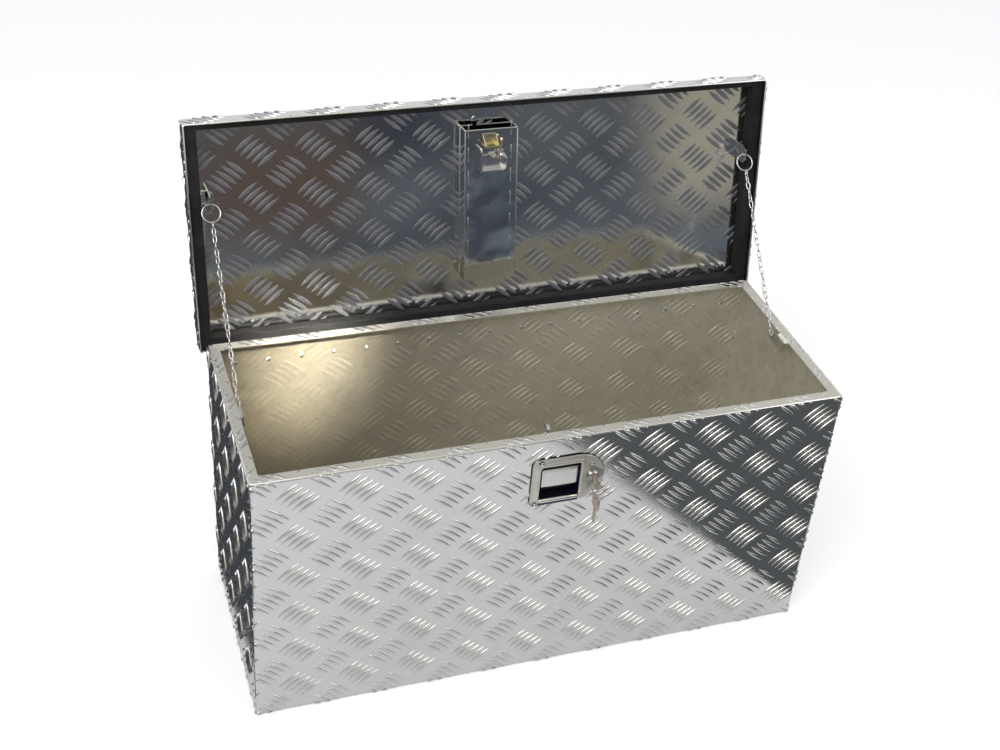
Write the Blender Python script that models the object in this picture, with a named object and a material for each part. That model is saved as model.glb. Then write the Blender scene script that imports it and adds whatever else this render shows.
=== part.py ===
"""Aluminium tool box: a folded body, a lifting lid on a piano hinge, two stay chains and a keyed paddle latch.

The origin is the centre of the underside. X runs to the right, Y to the back and Z up; the latch faces -Y.
The lid stands open on its taut chains, as it rests. Lengths are in metres.
"""

import math

import bmesh
import bpy
from mathutils import Matrix, Vector

# Body: one folded and welded tray with a rim turned in round its mouth.
BODY_WIDTH = 0.765
BODY_DEPTH = 0.285
BODY_HEIGHT = 0.384
SHEET = 0.002
FOLD_RADIUS = 0.0025
RIM_WIDTH = 0.014
FIT_GAP = 0.0003
CUT_OVERRUN = 0.002

# Piano hinge between the back wall and the lid's rear skirt.
KNUCKLE_RADIUS = 0.0029
HINGE_PIN_RADIUS = 0.0013
LEAF_THICKNESS = 0.0012
PIN_BELOW_RIM = 0.0104
HINGE_END_INSET = 0.006
KNUCKLE_COUNT = 25
KNUCKLE_GAP = 0.0006
BODY_LEAF_DROP = 0.030
LID_LEAF_RISE = 0.022
HINGE_RIVET_PITCH = 0.04345
HINGE_RIVET_END = 0.0289
HINGE_RIVET_EDGE = 0.0074
HINGE_RIVET_SHANK = 0.0018
HINGE_RIVET_HEAD = 0.0036
HINGE_RIVET_DOME = 0.0011

# Lid: a shallow tray that closes over the body's walls.
LID_TOP_ABOVE_RIM = 0.0198
LID_SKIRT_HEIGHT = 0.0257
LID_OPEN_ANGLE = math.radians(100.0)

# Foam seal glued inside the lid, which closes onto the rim.
GASKET_INBOARD = 0.0085
GASKET_EDGE = 0.0012

# Flat sleeve up the middle of the lid, open at its front end, which carries the striker.
CHANNEL_WIDTH = 0.071
CHANNEL_DEPTH = 0.0227
CHANNEL_WALL = 0.0015
CHANNEL_START = 0.052
CHANNEL_FROM_FRONT = 0.0282
CHANNEL_FOLD = 0.0012
TONGUE_OFFSET = -0.0165
TONGUE_WIDTH = 0.0065
TONGUE_REACH = 0.012

# Striker: a bent strap, a plated keeper that the latch hook enters, and a buffer stud.
STRAP_THICKNESS = 0.002
STRAP_BEHIND_KEEPER = 0.001
STRAP_EAR_REACH = 0.012
STRAP_LENGTH = 0.020
STRAP_WALL_HEIGHT = 0.012
STRAP_EAR_HEIGHT = 0.0145
STRAP_CORNER = 0.005
SHELF_BEFORE_STUD = 0.012
SHELF_BEYOND_STUD = 0.0077
SHELF_HEIGHT = 0.0125
SHELF_FROM_FRONT = 0.003
STUD_BESIDE_KEEPER = 0.0015
STUD_DROP = 0.0082
STUD_RADIUS = 0.0016
STUD_REACH = 0.025
STUD_TAIL = 0.004
STUD_BALL = 0.0024
STUD_COLLAR = 0.003
STUD_COLLAR_PLACE = 0.009
STUD_COLLAR_LENGTH = 0.002
STUD_NUT_RADIUS = 0.0036
STUD_NUT_LENGTH = 0.0045
KEEPER_THICKNESS = 0.003
KEEPER_BEHIND_HOOK = 0.0008
KEEPER_NOSE_GAP = 0.0005
KEEPER_FOOT = 0.012
KEEPER_FOOT_THICKNESS = 0.002
KEEPER_GUSSET = 0.0015
KEEPER_BAR = 0.0022
WINDOW_SIDE_GAP = 0.0035
WINDOW_FRAME = 0.004

# Lugs that hold the stay chains.
LUG_FROM_RIM = 0.004
LUG_THICKNESS = 0.002
LUG_HOLE_RADIUS = 0.0022
LID_LUG_REACH = 0.195
LID_LUG_HOLE_DEPTH = 0.0259
LID_LUG_HALF_LENGTH = 0.012
LID_LUG_HOLE_EDGE = 0.0071
LID_LUG_CHAMFER = 0.005
LID_LUG_FOOT = 0.0087
LID_LUG_FOOT_HALF = 0.009
BODY_LUG_REACH = 0.1272
BODY_LUG_AHEAD = 0.033
BODY_LUG_BEHIND = 0.007
BODY_LUG_SHOULDER = 0.0015
BODY_LUG_HOLE_DROP = 0.0135
BODY_LUG_HOLE_EDGE = 0.0045
BODY_LUG_FOOT_LENGTH = 0.024
BODY_LUG_CORNER = 0.004

# Stay chains: twisted welded links below a split ring.
CHAIN_WIRE = 0.0015
CHAIN_LINK_WIDTH = 0.006
CHAIN_NOMINAL_PITCH = 0.009
CHAIN_WELD = 0.0003
CHAIN_TWIST = math.radians(60.0)
CHAIN_LOWER_SHARE = 0.46
STAY_RING_DIAMETER = 0.0245
STAY_RING_WIRE = 0.0018
LINK_ARC_STEPS = 3
LINK_SIDES = 5
RING_STEPS = 20

# Latch plate: a stamped dish on the front wall, flat on the left and half round on the right.
PLATE_BELOW_RIM = 0.028
PLATE_LEFT_MARGIN = 0.0115
PLATE_TOP_MARGIN = 0.012
PLATE_BOTTOM_MARGIN = 0.006
PLATE_ROUND_INSET = 0.003
PLATE_CORNER = 0.008
PLATE_THICKNESS = 0.0015
PLATE_SEAL = 0.001
FRAME_MARGIN = 0.006
FRAME_RISE = 0.0012
FRAME_CORNER = 0.006
POCKET_HALF_WIDTH = 0.026
POCKET_HEIGHT = 0.054
POCKET_DEPTH = 0.0188
POCKET_CORNER = 0.003
PAN_WALL = 0.0012
PAN_BAR_RADIUS = 0.003
WALL_CLEARANCE = 0.0005
UPPER_RIVET_INSET = 0.0115
UPPER_RIVET_DROP = 0.0048
LOWER_RIVET_INSET = 0.0069
LOWER_RIVET_RISE = 0.0028
ROUND_UPPER_RIVET_REACH = 0.0264
ROUND_UPPER_RIVET_TURN = math.radians(46.4)
ROUND_LOWER_RIVET_REACH = 0.0313
ROUND_LOWER_RIVET_TURN = math.radians(-48.8)
LATCH_RIVET_SHANK = 0.0016
LATCH_RIVET_HEAD = 0.0028
LATCH_RIVET_DOME = 0.0012

# Paddle: pinned along its rolled top edge, with a finger at the back that presses the hook.
PADDLE_SIDE_GAP = 0.0008
PADDLE_PIN_DEPTH = 0.0038
PADDLE_PIN_DROP = 0.0052
PADDLE_ROLL_RADIUS = 0.003
PADDLE_PIN_RADIUS = 0.0013
PADDLE_SHEET = 0.0015
PADDLE_FACE_LENGTH = 0.0278
PADDLE_LIP_DROP = 0.0045
PADDLE_LIP_RETURN = 0.0045
PADDLE_SCALLOP_SHARES = (-0.62, -0.44, 0.5, 0.62)
FINGER_HALF_WIDTH = 0.0025
FINGER_HALF_HEIGHT = 0.0015
FINGER_LAP = 0.004
FINGER_HOOK_GAP = 0.0006
FINGER_SLOT_CLEARANCE = 0.0015
FINGER_SLOT_DROP = 0.0115
PADDLE_SWING = math.radians(28.0)

# Hook and its bracket, behind the pan.
HOOK_CENTRE = -0.0035
HOOK_THICKNESS = 0.004
HOOK_PIN_DEPTH = 0.046
HOOK_PIN_RISE = 0.0112
HOOK_PIN_RADIUS = 0.002
HOOK_NOSE_REACH = 0.006
HOOK_NOSE_BOTTOM = 0.014
HOOK_NOSE_TOP = 0.0195
HOOK_STEM_FRONT = 0.005
HOOK_STEM_BACK = 0.0006
HOOK_ARM_CLEARANCE = 0.0002
HOOK_ARM_LENGTH = 0.006
HOOK_ARM_DEPTH = 0.0042
CHEEK_GAP = 0.001
CHEEK_THICKNESS = 0.0015
CHEEK_BACK_MARGIN = 0.006
CHEEK_HEIGHT = 0.030
BRACKET_EAR = 0.010
BRACKET_HEIGHT = 0.034
PIN_HEAD_SHARE = 1.6
SPRING_WIRE = 0.0007
SPRING_TURNS = 3
SPRING_TURN_POINTS = 10

# Lock beside the pocket, with a key in it, a ring and a spare key.
LOCK_FROM_PAN = 0.0153
LOCK_RISE = 0.0005
LOCK_DOME_RADIUS = 0.008
LOCK_DOME_HEIGHT = 0.0045
LOCK_DOME_STEPS = 4
LOCK_BARREL_RADIUS = 0.0068
LOCK_BARREL_DEPTH = 0.024
LOCK_PLUG_RADIUS = 0.0048
LOCK_NUT_FLATS = 0.019
LOCK_NUT_THICKNESS = 0.004
CAM_LENGTH = 0.034
CAM_HALF_WIDTH = 0.005
CAM_THICKNESS = 0.002
CAM_STUD_RADIUS = 0.003
KEY_THICKNESS = 0.002
KEY_BLADE_HALF_HEIGHT = 0.003
KEY_BLADE_LENGTH = 0.026
KEY_SLOT_DEPTH = 0.018
KEY_SHOULDER_GAP = 0.0012
BOW_LENGTH = 0.019
BOW_HALF_WIDTH = 0.0095
BOW_CORNER = 0.0045
BOW_HOLE_RADIUS = 0.0019
BOW_HOLE_INSET = 0.0042
KEY_RING_RADIUS = 0.0066
KEY_RING_WIRE = 0.001

ROD_SIDES = 16
SMALL_SIDES = 10
RIVET_SIDES = 6
KNUCKLE_SIDES = 8
BORE_SIDES = 6
PLATE_ARC_STEPS = 16
DOME_SHOULDER_SHARE = 0.7
BEVEL_PROFILE_SHARE = 0.5
WELD_SHARE = 0.001
SMOOTH_ANGLE = math.radians(35.0)

# Places worked out from the sizes above.
FRONT = -BODY_DEPTH / 2
BACK = BODY_DEPTH / 2
HALF_WIDTH = BODY_WIDTH / 2
PIN_Y = BACK + KNUCKLE_RADIUS + FIT_GAP
PIN_Z = BODY_HEIGHT - PIN_BELOW_RIM
LID_OVERHANG = SHEET + 2 * (KNUCKLE_RADIUS + FIT_GAP)
LID_TOP = BODY_HEIGHT + LID_TOP_ABOVE_RIM
LID_INNER = LID_TOP - SHEET
GASKET_LOW = BODY_HEIGHT + FIT_GAP
CHANNEL_BACK = LID_INNER - FIT_GAP
CHANNEL_FACE = CHANNEL_BACK - CHANNEL_DEPTH
STRIKER_BASE = CHANNEL_FACE - FIT_GAP
LATCH_SEAT = FRONT - FIT_GAP
PLATE_BACK = LATCH_SEAT - PLATE_SEAL - FIT_GAP
PLATE_FACE = PLATE_BACK - PLATE_THICKNESS
PAN_BACK = FRONT + POCKET_DEPTH + PAN_WALL
PLATE_TOP = BODY_HEIGHT - PLATE_BELOW_RIM
POCKET_TOP = PLATE_TOP - PLATE_TOP_MARGIN
POCKET_BOTTOM = POCKET_TOP - POCKET_HEIGHT
PLATE_BOTTOM = POCKET_BOTTOM - PLATE_BOTTOM_MARGIN
PLATE_MIDDLE = (PLATE_BOTTOM + PLATE_TOP) / 2
PLATE_LEFT = -POCKET_HALF_WIDTH - PLATE_LEFT_MARGIN
PLATE_ROUND_CENTRE = POCKET_HALF_WIDTH - PLATE_ROUND_INSET
PADDLE_PIN_Z = POCKET_TOP - PADDLE_PIN_DROP
HOOK_PIN_Z = PADDLE_PIN_Z + HOOK_PIN_RISE
HOOK_ARM_TOP = PADDLE_PIN_Z - FINGER_HALF_HEIGHT - FINGER_HOOK_GAP
HOOK_ARM_TIP = PAN_BACK + FIT_GAP + CHEEK_THICKNESS + HOOK_ARM_CLEARANCE
LOCK_X = POCKET_HALF_WIDTH + PAN_WALL + LOCK_FROM_PAN
LOCK_Z = PLATE_MIDDLE + LOCK_RISE
KEEPER_FACE = FRONT + HOOK_PIN_DEPTH - HOOK_STEM_BACK + KEEPER_BEHIND_HOOK
WINDOW_LOW = HOOK_PIN_Z + HOOK_NOSE_BOTTOM - KEEPER_NOSE_GAP
WINDOW_HIGH = HOOK_PIN_Z + HOOK_NOSE_TOP + 2 * KEEPER_NOSE_GAP
WINDOW_HALF_WIDTH = HOOK_THICKNESS / 2 + WINDOW_SIDE_GAP
KEEPER_HALF_WIDTH = WINDOW_HALF_WIDTH + WINDOW_FRAME
STUD_X = HOOK_CENTRE + KEEPER_HALF_WIDTH + STUD_BESIDE_KEEPER + STUD_COLLAR
LUG_INBOARD = RIM_WIDTH + LUG_FROM_RIM


def clear_scene():
    """Removes every object of the scene."""
    for old in list(bpy.data.objects):
        bpy.data.objects.remove(old, do_unlink=True)


def finish(name, colour, roughness, metallic):
    """A Principled material of one colour."""
    made = bpy.data.materials.new(name)
    made.use_nodes = True
    shader = made.node_tree.nodes["Principled BSDF"]
    shader.inputs["Base Color"].default_value = (*colour, 1.0)
    shader.inputs["Roughness"].default_value = roughness
    shader.inputs["Metallic"].default_value = metallic
    made.diffuse_color = (*colour, 1.0)
    return made


def circle(radius, sides, centre=(0.0, 0.0)):
    """The corners of a regular outline round a centre."""
    corners = []
    for step in range(sides):
        angle = 2 * math.pi * (step + 0.5) / sides
        corners.append((centre[0] + radius * math.cos(angle), centre[1] + radius * math.sin(angle)))
    return corners


def rectangle(left, bottom, right, top):
    """Four corners, anticlockwise."""
    return [(left, bottom), (right, bottom), (right, top), (left, top)]


def rounded(outline, radius, segments=3):
    """The outline with each corner turned into an arc of this radius."""
    corners = []
    count = len(outline)
    for index, corner in enumerate(outline):
        here = Vector(corner)
        before = Vector(outline[index - 1]) - here
        after = Vector(outline[(index + 1) % count]) - here
        half = before.angle(after) / 2
        reach = min(radius / math.tan(half), before.length / 2, after.length / 2)
        first = here + before.normalized() * reach
        last = here + after.normalized() * reach
        for step in range(segments + 1):
            share = step / segments
            point = first.lerp(here, share).lerp(here.lerp(last, share), share)
            corners.append((point.x, point.y))
    return corners


def axes(along):
    """The places in a vector of the two axes square to this one, and of this one."""
    own = "XYZ".index(along)
    first, second = [index for index in range(len("XYZ")) if index != own]
    return first, second, own


class Shape:
    """A mesh that solids are added to, in the box's own coordinates."""

    def __init__(self):
        self.mesh = bmesh.new()

    def prism(self, outline, low, high, along):
        """Extrudes an outline, drawn square to an axis, from one place on that axis to another."""
        first, second, third = axes(along)
        corners = []
        for across, up in outline:
            place = [0.0, 0.0, 0.0]
            place[first] = across
            place[second] = up
            place[third] = low
            corners.append(self.mesh.verts.new(place))
        face = self.mesh.faces.new(corners)
        grown = bmesh.ops.extrude_face_region(self.mesh, geom=[face])
        moved = [item for item in grown["geom"] if isinstance(item, bmesh.types.BMVert)]
        shift = [0.0, 0.0, 0.0]
        shift[third] = high - low
        bmesh.ops.translate(self.mesh, verts=moved, vec=shift)
        return self

    def box(self, low, high):
        """A box between two opposite corners."""
        return self.prism(rectangle(low[0], low[1], high[0], high[1]), low[2], high[2], "Z")

    def rod(self, radius, low, high, along, centre, sides=ROD_SIDES):
        """A round rod along an axis."""
        return self.prism(circle(radius, sides, centre), low, high, along)

    def turned(self, profile, along, centre, sides=ROD_SIDES):
        """Spins a profile of (radius, place on the axis) pairs once round an axis."""
        first, second, third = axes(along)
        points = []
        for radius, place in profile:
            spot = [0.0, 0.0, 0.0]
            spot[first] = centre[0] + radius
            spot[second] = centre[1]
            spot[third] = place
            points.append(self.mesh.verts.new(spot))
        closed = profile[0][0] > 0 and profile[-1][0] > 0
        edges = []
        for index in range(len(points) - (0 if closed else 1)):
            edges.append(self.mesh.edges.new((points[index], points[(index + 1) % len(points)])))
        middle = [0.0, 0.0, 0.0]
        middle[first] = centre[0]
        middle[second] = centre[1]
        axis = [0.0, 0.0, 0.0]
        axis[third] = 1.0
        bmesh.ops.spin(
            self.mesh,
            geom=points + edges,
            cent=middle,
            axis=axis,
            angle=2 * math.pi,
            steps=sides,
            use_merge=True,
        )
        bmesh.ops.remove_doubles(self.mesh, verts=self.mesh.verts[:], dist=FIT_GAP * WELD_SHARE)
        return self

    def loop(self, path, normal, radius, sides):
        """A closed loop of round wire along a flat path, with a corner of each ring on its inner side."""
        rings = []
        count = len(path)
        for index, point in enumerate(path):
            ahead = (path[(index + 1) % count] - path[index - 1]).normalized()
            outward = ahead.cross(normal).normalized()
            ring = []
            for side in range(sides):
                angle = math.pi + 2 * math.pi * side / sides
                offset = outward * math.cos(angle) + normal * math.sin(angle)
                ring.append(self.mesh.verts.new(point + offset * radius))
            rings.append(ring)
        for index in range(count):
            here = rings[index]
            there = rings[(index + 1) % count]
            for side in range(sides):
                onward = (side + 1) % sides
                self.mesh.faces.new((here[side], here[onward], there[onward], there[side]))
        return self

    def bevel(self, wanted, radius, segments):
        """Rounds the edges that the test picks."""
        edges = [edge for edge in self.mesh.edges if wanted(edge)]
        bmesh.ops.bevel(
            self.mesh,
            geom=edges,
            offset=radius,
            offset_type="OFFSET",
            segments=segments,
            profile=BEVEL_PROFILE_SHARE,
            affect="EDGES",
        )
        return self


def add(name, shape, material, holder=None):
    """Makes a named object of a shape; a holder is the empty on whose place the piece turns."""
    data = bpy.data.meshes.new(name)
    bmesh.ops.recalc_face_normals(shape.mesh, faces=shape.mesh.faces[:])
    if holder:
        shape.mesh.transform(Matrix.Translation(-holder.location))
    shape.mesh.to_mesh(data)
    shape.mesh.free()
    made = bpy.data.objects.new(name, data)
    bpy.context.scene.collection.objects.link(made)
    if holder:
        made.parent = holder
    if material:
        data.materials.append(material)
        data.shade_smooth()
        data.set_sharp_from_angle(angle=SMOOTH_ANGLE)
    return made


def combine(piece, shape, operation):
    """Adds a live Boolean of a hidden helper to a piece."""
    helper = add(f"{piece.name}.{operation.lower()}.{len(piece.modifiers)}", shape, None, piece.parent)
    helper.hide_render = True
    helper.display_type = "WIRE"
    step = piece.modifiers.new(operation.title(), "BOOLEAN")
    step.operation = operation
    step.solver = "EXACT"
    step.object = helper


def cut(piece, shape):
    """Takes a shape out of a piece."""
    combine(piece, shape, "DIFFERENCE")


def join(piece, shape):
    """Fuses a shape onto a piece."""
    combine(piece, shape, "UNION")


def holder_at(name, place, tilt=0.0):
    """An empty on a joint's axis, turned about X."""
    made = bpy.data.objects.new(name, None)
    made.location = place
    made.rotation_euler = (tilt, 0.0, 0.0)
    bpy.context.scene.collection.objects.link(made)
    return made


def from_pin(reach):
    """The Y of a place this far in front of the hinge pin with the lid closed."""
    return PIN_Y - reach


def latch_cutout(margin):
    """The outline round the pan, this much larger than it."""
    edge = PAN_WALL + margin
    return rectangle(
        -POCKET_HALF_WIDTH - edge,
        POCKET_BOTTOM - edge,
        POCKET_HALF_WIDTH + edge,
        POCKET_TOP + edge,
    )


def plate_outline(inset=0.0):
    """The latch plate: two rounded corners on the left and a half circle on the right."""
    middle = PLATE_MIDDLE
    radius = (PLATE_TOP - PLATE_BOTTOM) / 2 - inset
    corners = rounded(
        [
            (PLATE_ROUND_CENTRE, middle + radius),
            (PLATE_LEFT + inset, middle + radius),
            (PLATE_LEFT + inset, middle - radius),
            (PLATE_ROUND_CENTRE, middle - radius),
        ],
        PLATE_CORNER,
    )
    corners = corners[4:-4]
    for step in range(PLATE_ARC_STEPS + 1):
        angle = -math.pi / 2 + math.pi * step / PLATE_ARC_STEPS
        corners.append((PLATE_ROUND_CENTRE + radius * math.cos(angle), middle + radius * math.sin(angle)))
    return corners


def latch_rivet_places():
    """The (X, Z) of each rivet: two beside the pocket's left side and two in the plate's round end."""
    places = [
        (PLATE_LEFT + UPPER_RIVET_INSET, PLATE_TOP - UPPER_RIVET_DROP),
        (PLATE_LEFT + LOWER_RIVET_INSET, PLATE_BOTTOM + LOWER_RIVET_RISE),
    ]
    for reach, turn in (
        (ROUND_UPPER_RIVET_REACH, ROUND_UPPER_RIVET_TURN),
        (ROUND_LOWER_RIVET_REACH, ROUND_LOWER_RIVET_TURN),
    ):
        places.append((PLATE_ROUND_CENTRE + reach * math.cos(turn), PLATE_MIDDLE + reach * math.sin(turn)))
    return places


def latch_holes(radius_margin, low, high):
    """Holes for the latch rivets through one layer."""
    holes = Shape()
    for x, z in latch_rivet_places():
        holes.rod(LATCH_RIVET_SHANK + radius_margin, low, high, "Y", (x, z), SMALL_SIDES)
    return holes


def hinge_rivet_places():
    """The X of each rivet along the hinge, evenly spaced between the two end rivets."""
    reach = HALF_WIDTH - HINGE_END_INSET - HINGE_RIVET_END
    gaps = round(2 * reach / HINGE_RIVET_PITCH)
    return [-reach + 2 * reach * index / gaps for index in range(gaps + 1)]


def hinge_rivet_height():
    """The Z of the row of rivets, near the lower edge of the body's leaf."""
    return PIN_Z - BODY_LEAF_DROP + HINGE_RIVET_EDGE


def build_body(finishes):
    """The folded body with its turned-in rim, latch opening and hinge holes."""
    outside = Shape().box((-HALF_WIDTH, FRONT, 0.0), (HALF_WIDTH, BACK, BODY_HEIGHT))
    outside.bevel(lambda edge: True, FOLD_RADIUS, 2)
    body = add("body_shell", outside, finishes["tread"])
    cut(
        body,
        Shape().box(
            (-HALF_WIDTH + SHEET, FRONT + SHEET, SHEET),
            (HALF_WIDTH - SHEET, BACK - SHEET, BODY_HEIGHT - SHEET),
        ),
    )
    cut(
        body,
        Shape().box(
            (-HALF_WIDTH + RIM_WIDTH, FRONT + RIM_WIDTH, BODY_HEIGHT / 2),
            (HALF_WIDTH - RIM_WIDTH, BACK - RIM_WIDTH, BODY_HEIGHT + CUT_OVERRUN),
        ),
    )
    low = FRONT - CUT_OVERRUN
    high = FRONT + SHEET + CUT_OVERRUN
    opening = Shape().prism(latch_cutout(WALL_CLEARANCE), low, high, "Y")
    opening.rod(LOCK_BARREL_RADIUS + WALL_CLEARANCE, low, high, "Y", (LOCK_X, LOCK_Z), ROD_SIDES)
    cut(body, opening)
    cut(body, latch_holes(FIT_GAP, low, high))
    holes = Shape()
    for x in hinge_rivet_places():
        holes.rod(
            HINGE_RIVET_SHANK + FIT_GAP,
            BACK - SHEET - CUT_OVERRUN,
            BACK + CUT_OVERRUN,
            "Y",
            (x, hinge_rivet_height()),
            RIVET_SIDES,
        )
    cut(body, holes)


def knuckle_slots(own):
    """The stretches of the hinge that one leaf leaves to the other; own is 0 or 1."""
    start = -HALF_WIDTH + HINGE_END_INSET
    length = (BODY_WIDTH - 2 * HINGE_END_INSET) / KNUCKLE_COUNT
    slots = []
    for index in range(KNUCKLE_COUNT):
        if index % 2 == own:
            continue
        slots.append((start + index * length - KNUCKLE_GAP / 2, start + (index + 1) * length + KNUCKLE_GAP / 2))
    return slots


def build_leaf(name, material, holder, side, reach, own):
    """One hinge leaf: side is -1 against the back wall and 1 against the lid's skirt."""
    start = -HALF_WIDTH + HINGE_END_INSET
    end = HALF_WIDTH - HINGE_END_INSET
    near = PIN_Y + side * KNUCKLE_RADIUS
    far = near - side * LEAF_THICKNESS
    low = PIN_Z + min(0.0, side * reach)
    high = PIN_Z + max(0.0, side * reach)
    leaf = add(
        name,
        Shape().box((start, min(near, far), low), (end, max(near, far), high)),
        material,
        holder,
    )
    join(leaf, Shape().rod(KNUCKLE_RADIUS, start, end, "X", (PIN_Y, PIN_Z), KNUCKLE_SIDES))
    bore = HINGE_PIN_RADIUS + FIT_GAP
    cut(leaf, Shape().rod(bore, start - CUT_OVERRUN, end + CUT_OVERRUN, "X", (PIN_Y, PIN_Z), BORE_SIDES))
    slots = Shape()
    clear = KNUCKLE_RADIUS + FIT_GAP
    for left, right in knuckle_slots(own):
        slots.box(
            (left, PIN_Y - clear, PIN_Z - clear),
            (right, PIN_Y + clear, PIN_Z + clear),
        )
    cut(leaf, slots)
    return leaf


def rivet_profile(shank, head, dome, outside, inside):
    """A rivet from its outer dome to its inner dome, as places along its axis."""
    way = 1.0 if inside > outside else -1.0
    return [
        (0.0, outside - way * dome),
        (head * DOME_SHOULDER_SHARE, outside - way * dome * DOME_SHOULDER_SHARE),
        (head, outside),
        (shank, outside),
        (shank, inside),
        (head, inside),
        (head * DOME_SHOULDER_SHARE, inside + way * dome * DOME_SHOULDER_SHARE),
        (0.0, inside + way * dome),
    ]


def build_hinge(finishes, lid):
    """Both leaves and the pin, with the body leaf's rivets through the back wall."""
    body_leaf = build_leaf("hinge_leaf_body", finishes["plain"], None, -1, BODY_LEAF_DROP, 0)
    rivets = Shape()
    outside = BACK + FIT_GAP + LEAF_THICKNESS / 2
    inside = BACK - SHEET - FIT_GAP
    dome = HINGE_RIVET_DOME * DOME_SHOULDER_SHARE
    for x in hinge_rivet_places():
        rivets.turned(
            [
                (0.0, outside + LEAF_THICKNESS / 2 + HINGE_RIVET_DOME),
                (HINGE_RIVET_HEAD, outside + LEAF_THICKNESS / 4),
                (HINGE_RIVET_SHANK, outside),
                (HINGE_RIVET_SHANK, inside),
                (HINGE_RIVET_HEAD, inside),
                (HINGE_RIVET_HEAD * DOME_SHOULDER_SHARE, inside - dome),
                (0.0, inside - HINGE_RIVET_DOME),
            ],
            "Y",
            (x, hinge_rivet_height()),
            RIVET_SIDES,
        )
    join(body_leaf, rivets)
    build_leaf("hinge_leaf_lid", finishes["plain"], lid, 1, LID_LEAF_RISE, 1)
    reach = HALF_WIDTH - HINGE_END_INSET
    add(
        "hinge_pin",
        Shape().rod(HINGE_PIN_RADIUS, -reach, reach, "X", (PIN_Y, PIN_Z), BORE_SIDES),
        finishes["steel"],
    )


def build_lid(finishes, lid):
    """The lid's tray and its foam seal, drawn closed and carried by the holder that opens them."""
    side = HALF_WIDTH + LID_OVERHANG
    front = FRONT - LID_OVERHANG
    back = BACK + LID_OVERHANG
    low = LID_TOP - LID_SKIRT_HEIGHT
    outside = Shape().box((-side, front, low), (side, back, LID_TOP))
    outside.bevel(lambda edge: max(vert.co.z for vert in edge.verts) > low, FOLD_RADIUS, 2)
    tray = add("lid_shell", outside, finishes["tread"], lid)
    cut(
        tray,
        Shape().box(
            (-side + SHEET, front + SHEET, low - CUT_OVERRUN),
            (side - SHEET, back - SHEET, LID_INNER),
        ),
    )
    outer = HALF_WIDTH + LID_OVERHANG - SHEET - FIT_GAP
    rear = PIN_Y + KNUCKLE_RADIUS - LEAF_THICKNESS - FIT_GAP
    seal_front = front + SHEET + FIT_GAP
    top = LID_INNER - FIT_GAP
    seal = add(
        "lid_gasket",
        Shape().box((-outer, seal_front, GASKET_LOW), (outer, rear, top)),
        finishes["foam"],
        lid,
    )
    inner = HALF_WIDTH - GASKET_INBOARD
    window = Shape().box(
        (-inner, FRONT + GASKET_INBOARD, GASKET_LOW - CUT_OVERRUN),
        (inner, BACK - GASKET_INBOARD, top + CUT_OVERRUN),
    )
    cut(seal, window)
    soften = seal.modifiers.new("Edges", "BEVEL")
    soften.width = GASKET_EDGE
    soften.segments = 2
    soften.limit_method = "ANGLE"


def build_channel(finishes, lid):
    """The sleeve on the lid, folded from one sheet and open towards the front."""
    half = CHANNEL_WIDTH / 2
    back = from_pin(CHANNEL_START)
    front = FRONT + CHANNEL_FROM_FRONT
    outline = rounded(rectangle(-half, CHANNEL_FACE, half, CHANNEL_BACK), CHANNEL_FOLD, 2)
    sleeve = add("lid_channel", Shape().prism(outline, front, back, "Y"), finishes["plain"], lid)
    cut(
        sleeve,
        Shape().box(
            (-half + CHANNEL_WALL, front - CUT_OVERRUN, CHANNEL_FACE + CHANNEL_WALL),
            (half - CHANNEL_WALL, back - CHANNEL_WALL, CHANNEL_BACK - CHANNEL_WALL),
        ),
    )
    left = TONGUE_OFFSET - TONGUE_WIDTH / 2
    right = TONGUE_OFFSET + TONGUE_WIDTH / 2
    tongue = [
        (left, front + TONGUE_REACH),
        (left, front - TONGUE_REACH + TONGUE_WIDTH / 2),
        (TONGUE_OFFSET, front - TONGUE_REACH),
        (right, front - TONGUE_REACH + TONGUE_WIDTH / 2),
        (right, front + TONGUE_REACH),
    ]
    join(sleeve, Shape().prism(tongue, CHANNEL_BACK - CHANNEL_WALL, CHANNEL_BACK, "Z"))


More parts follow.
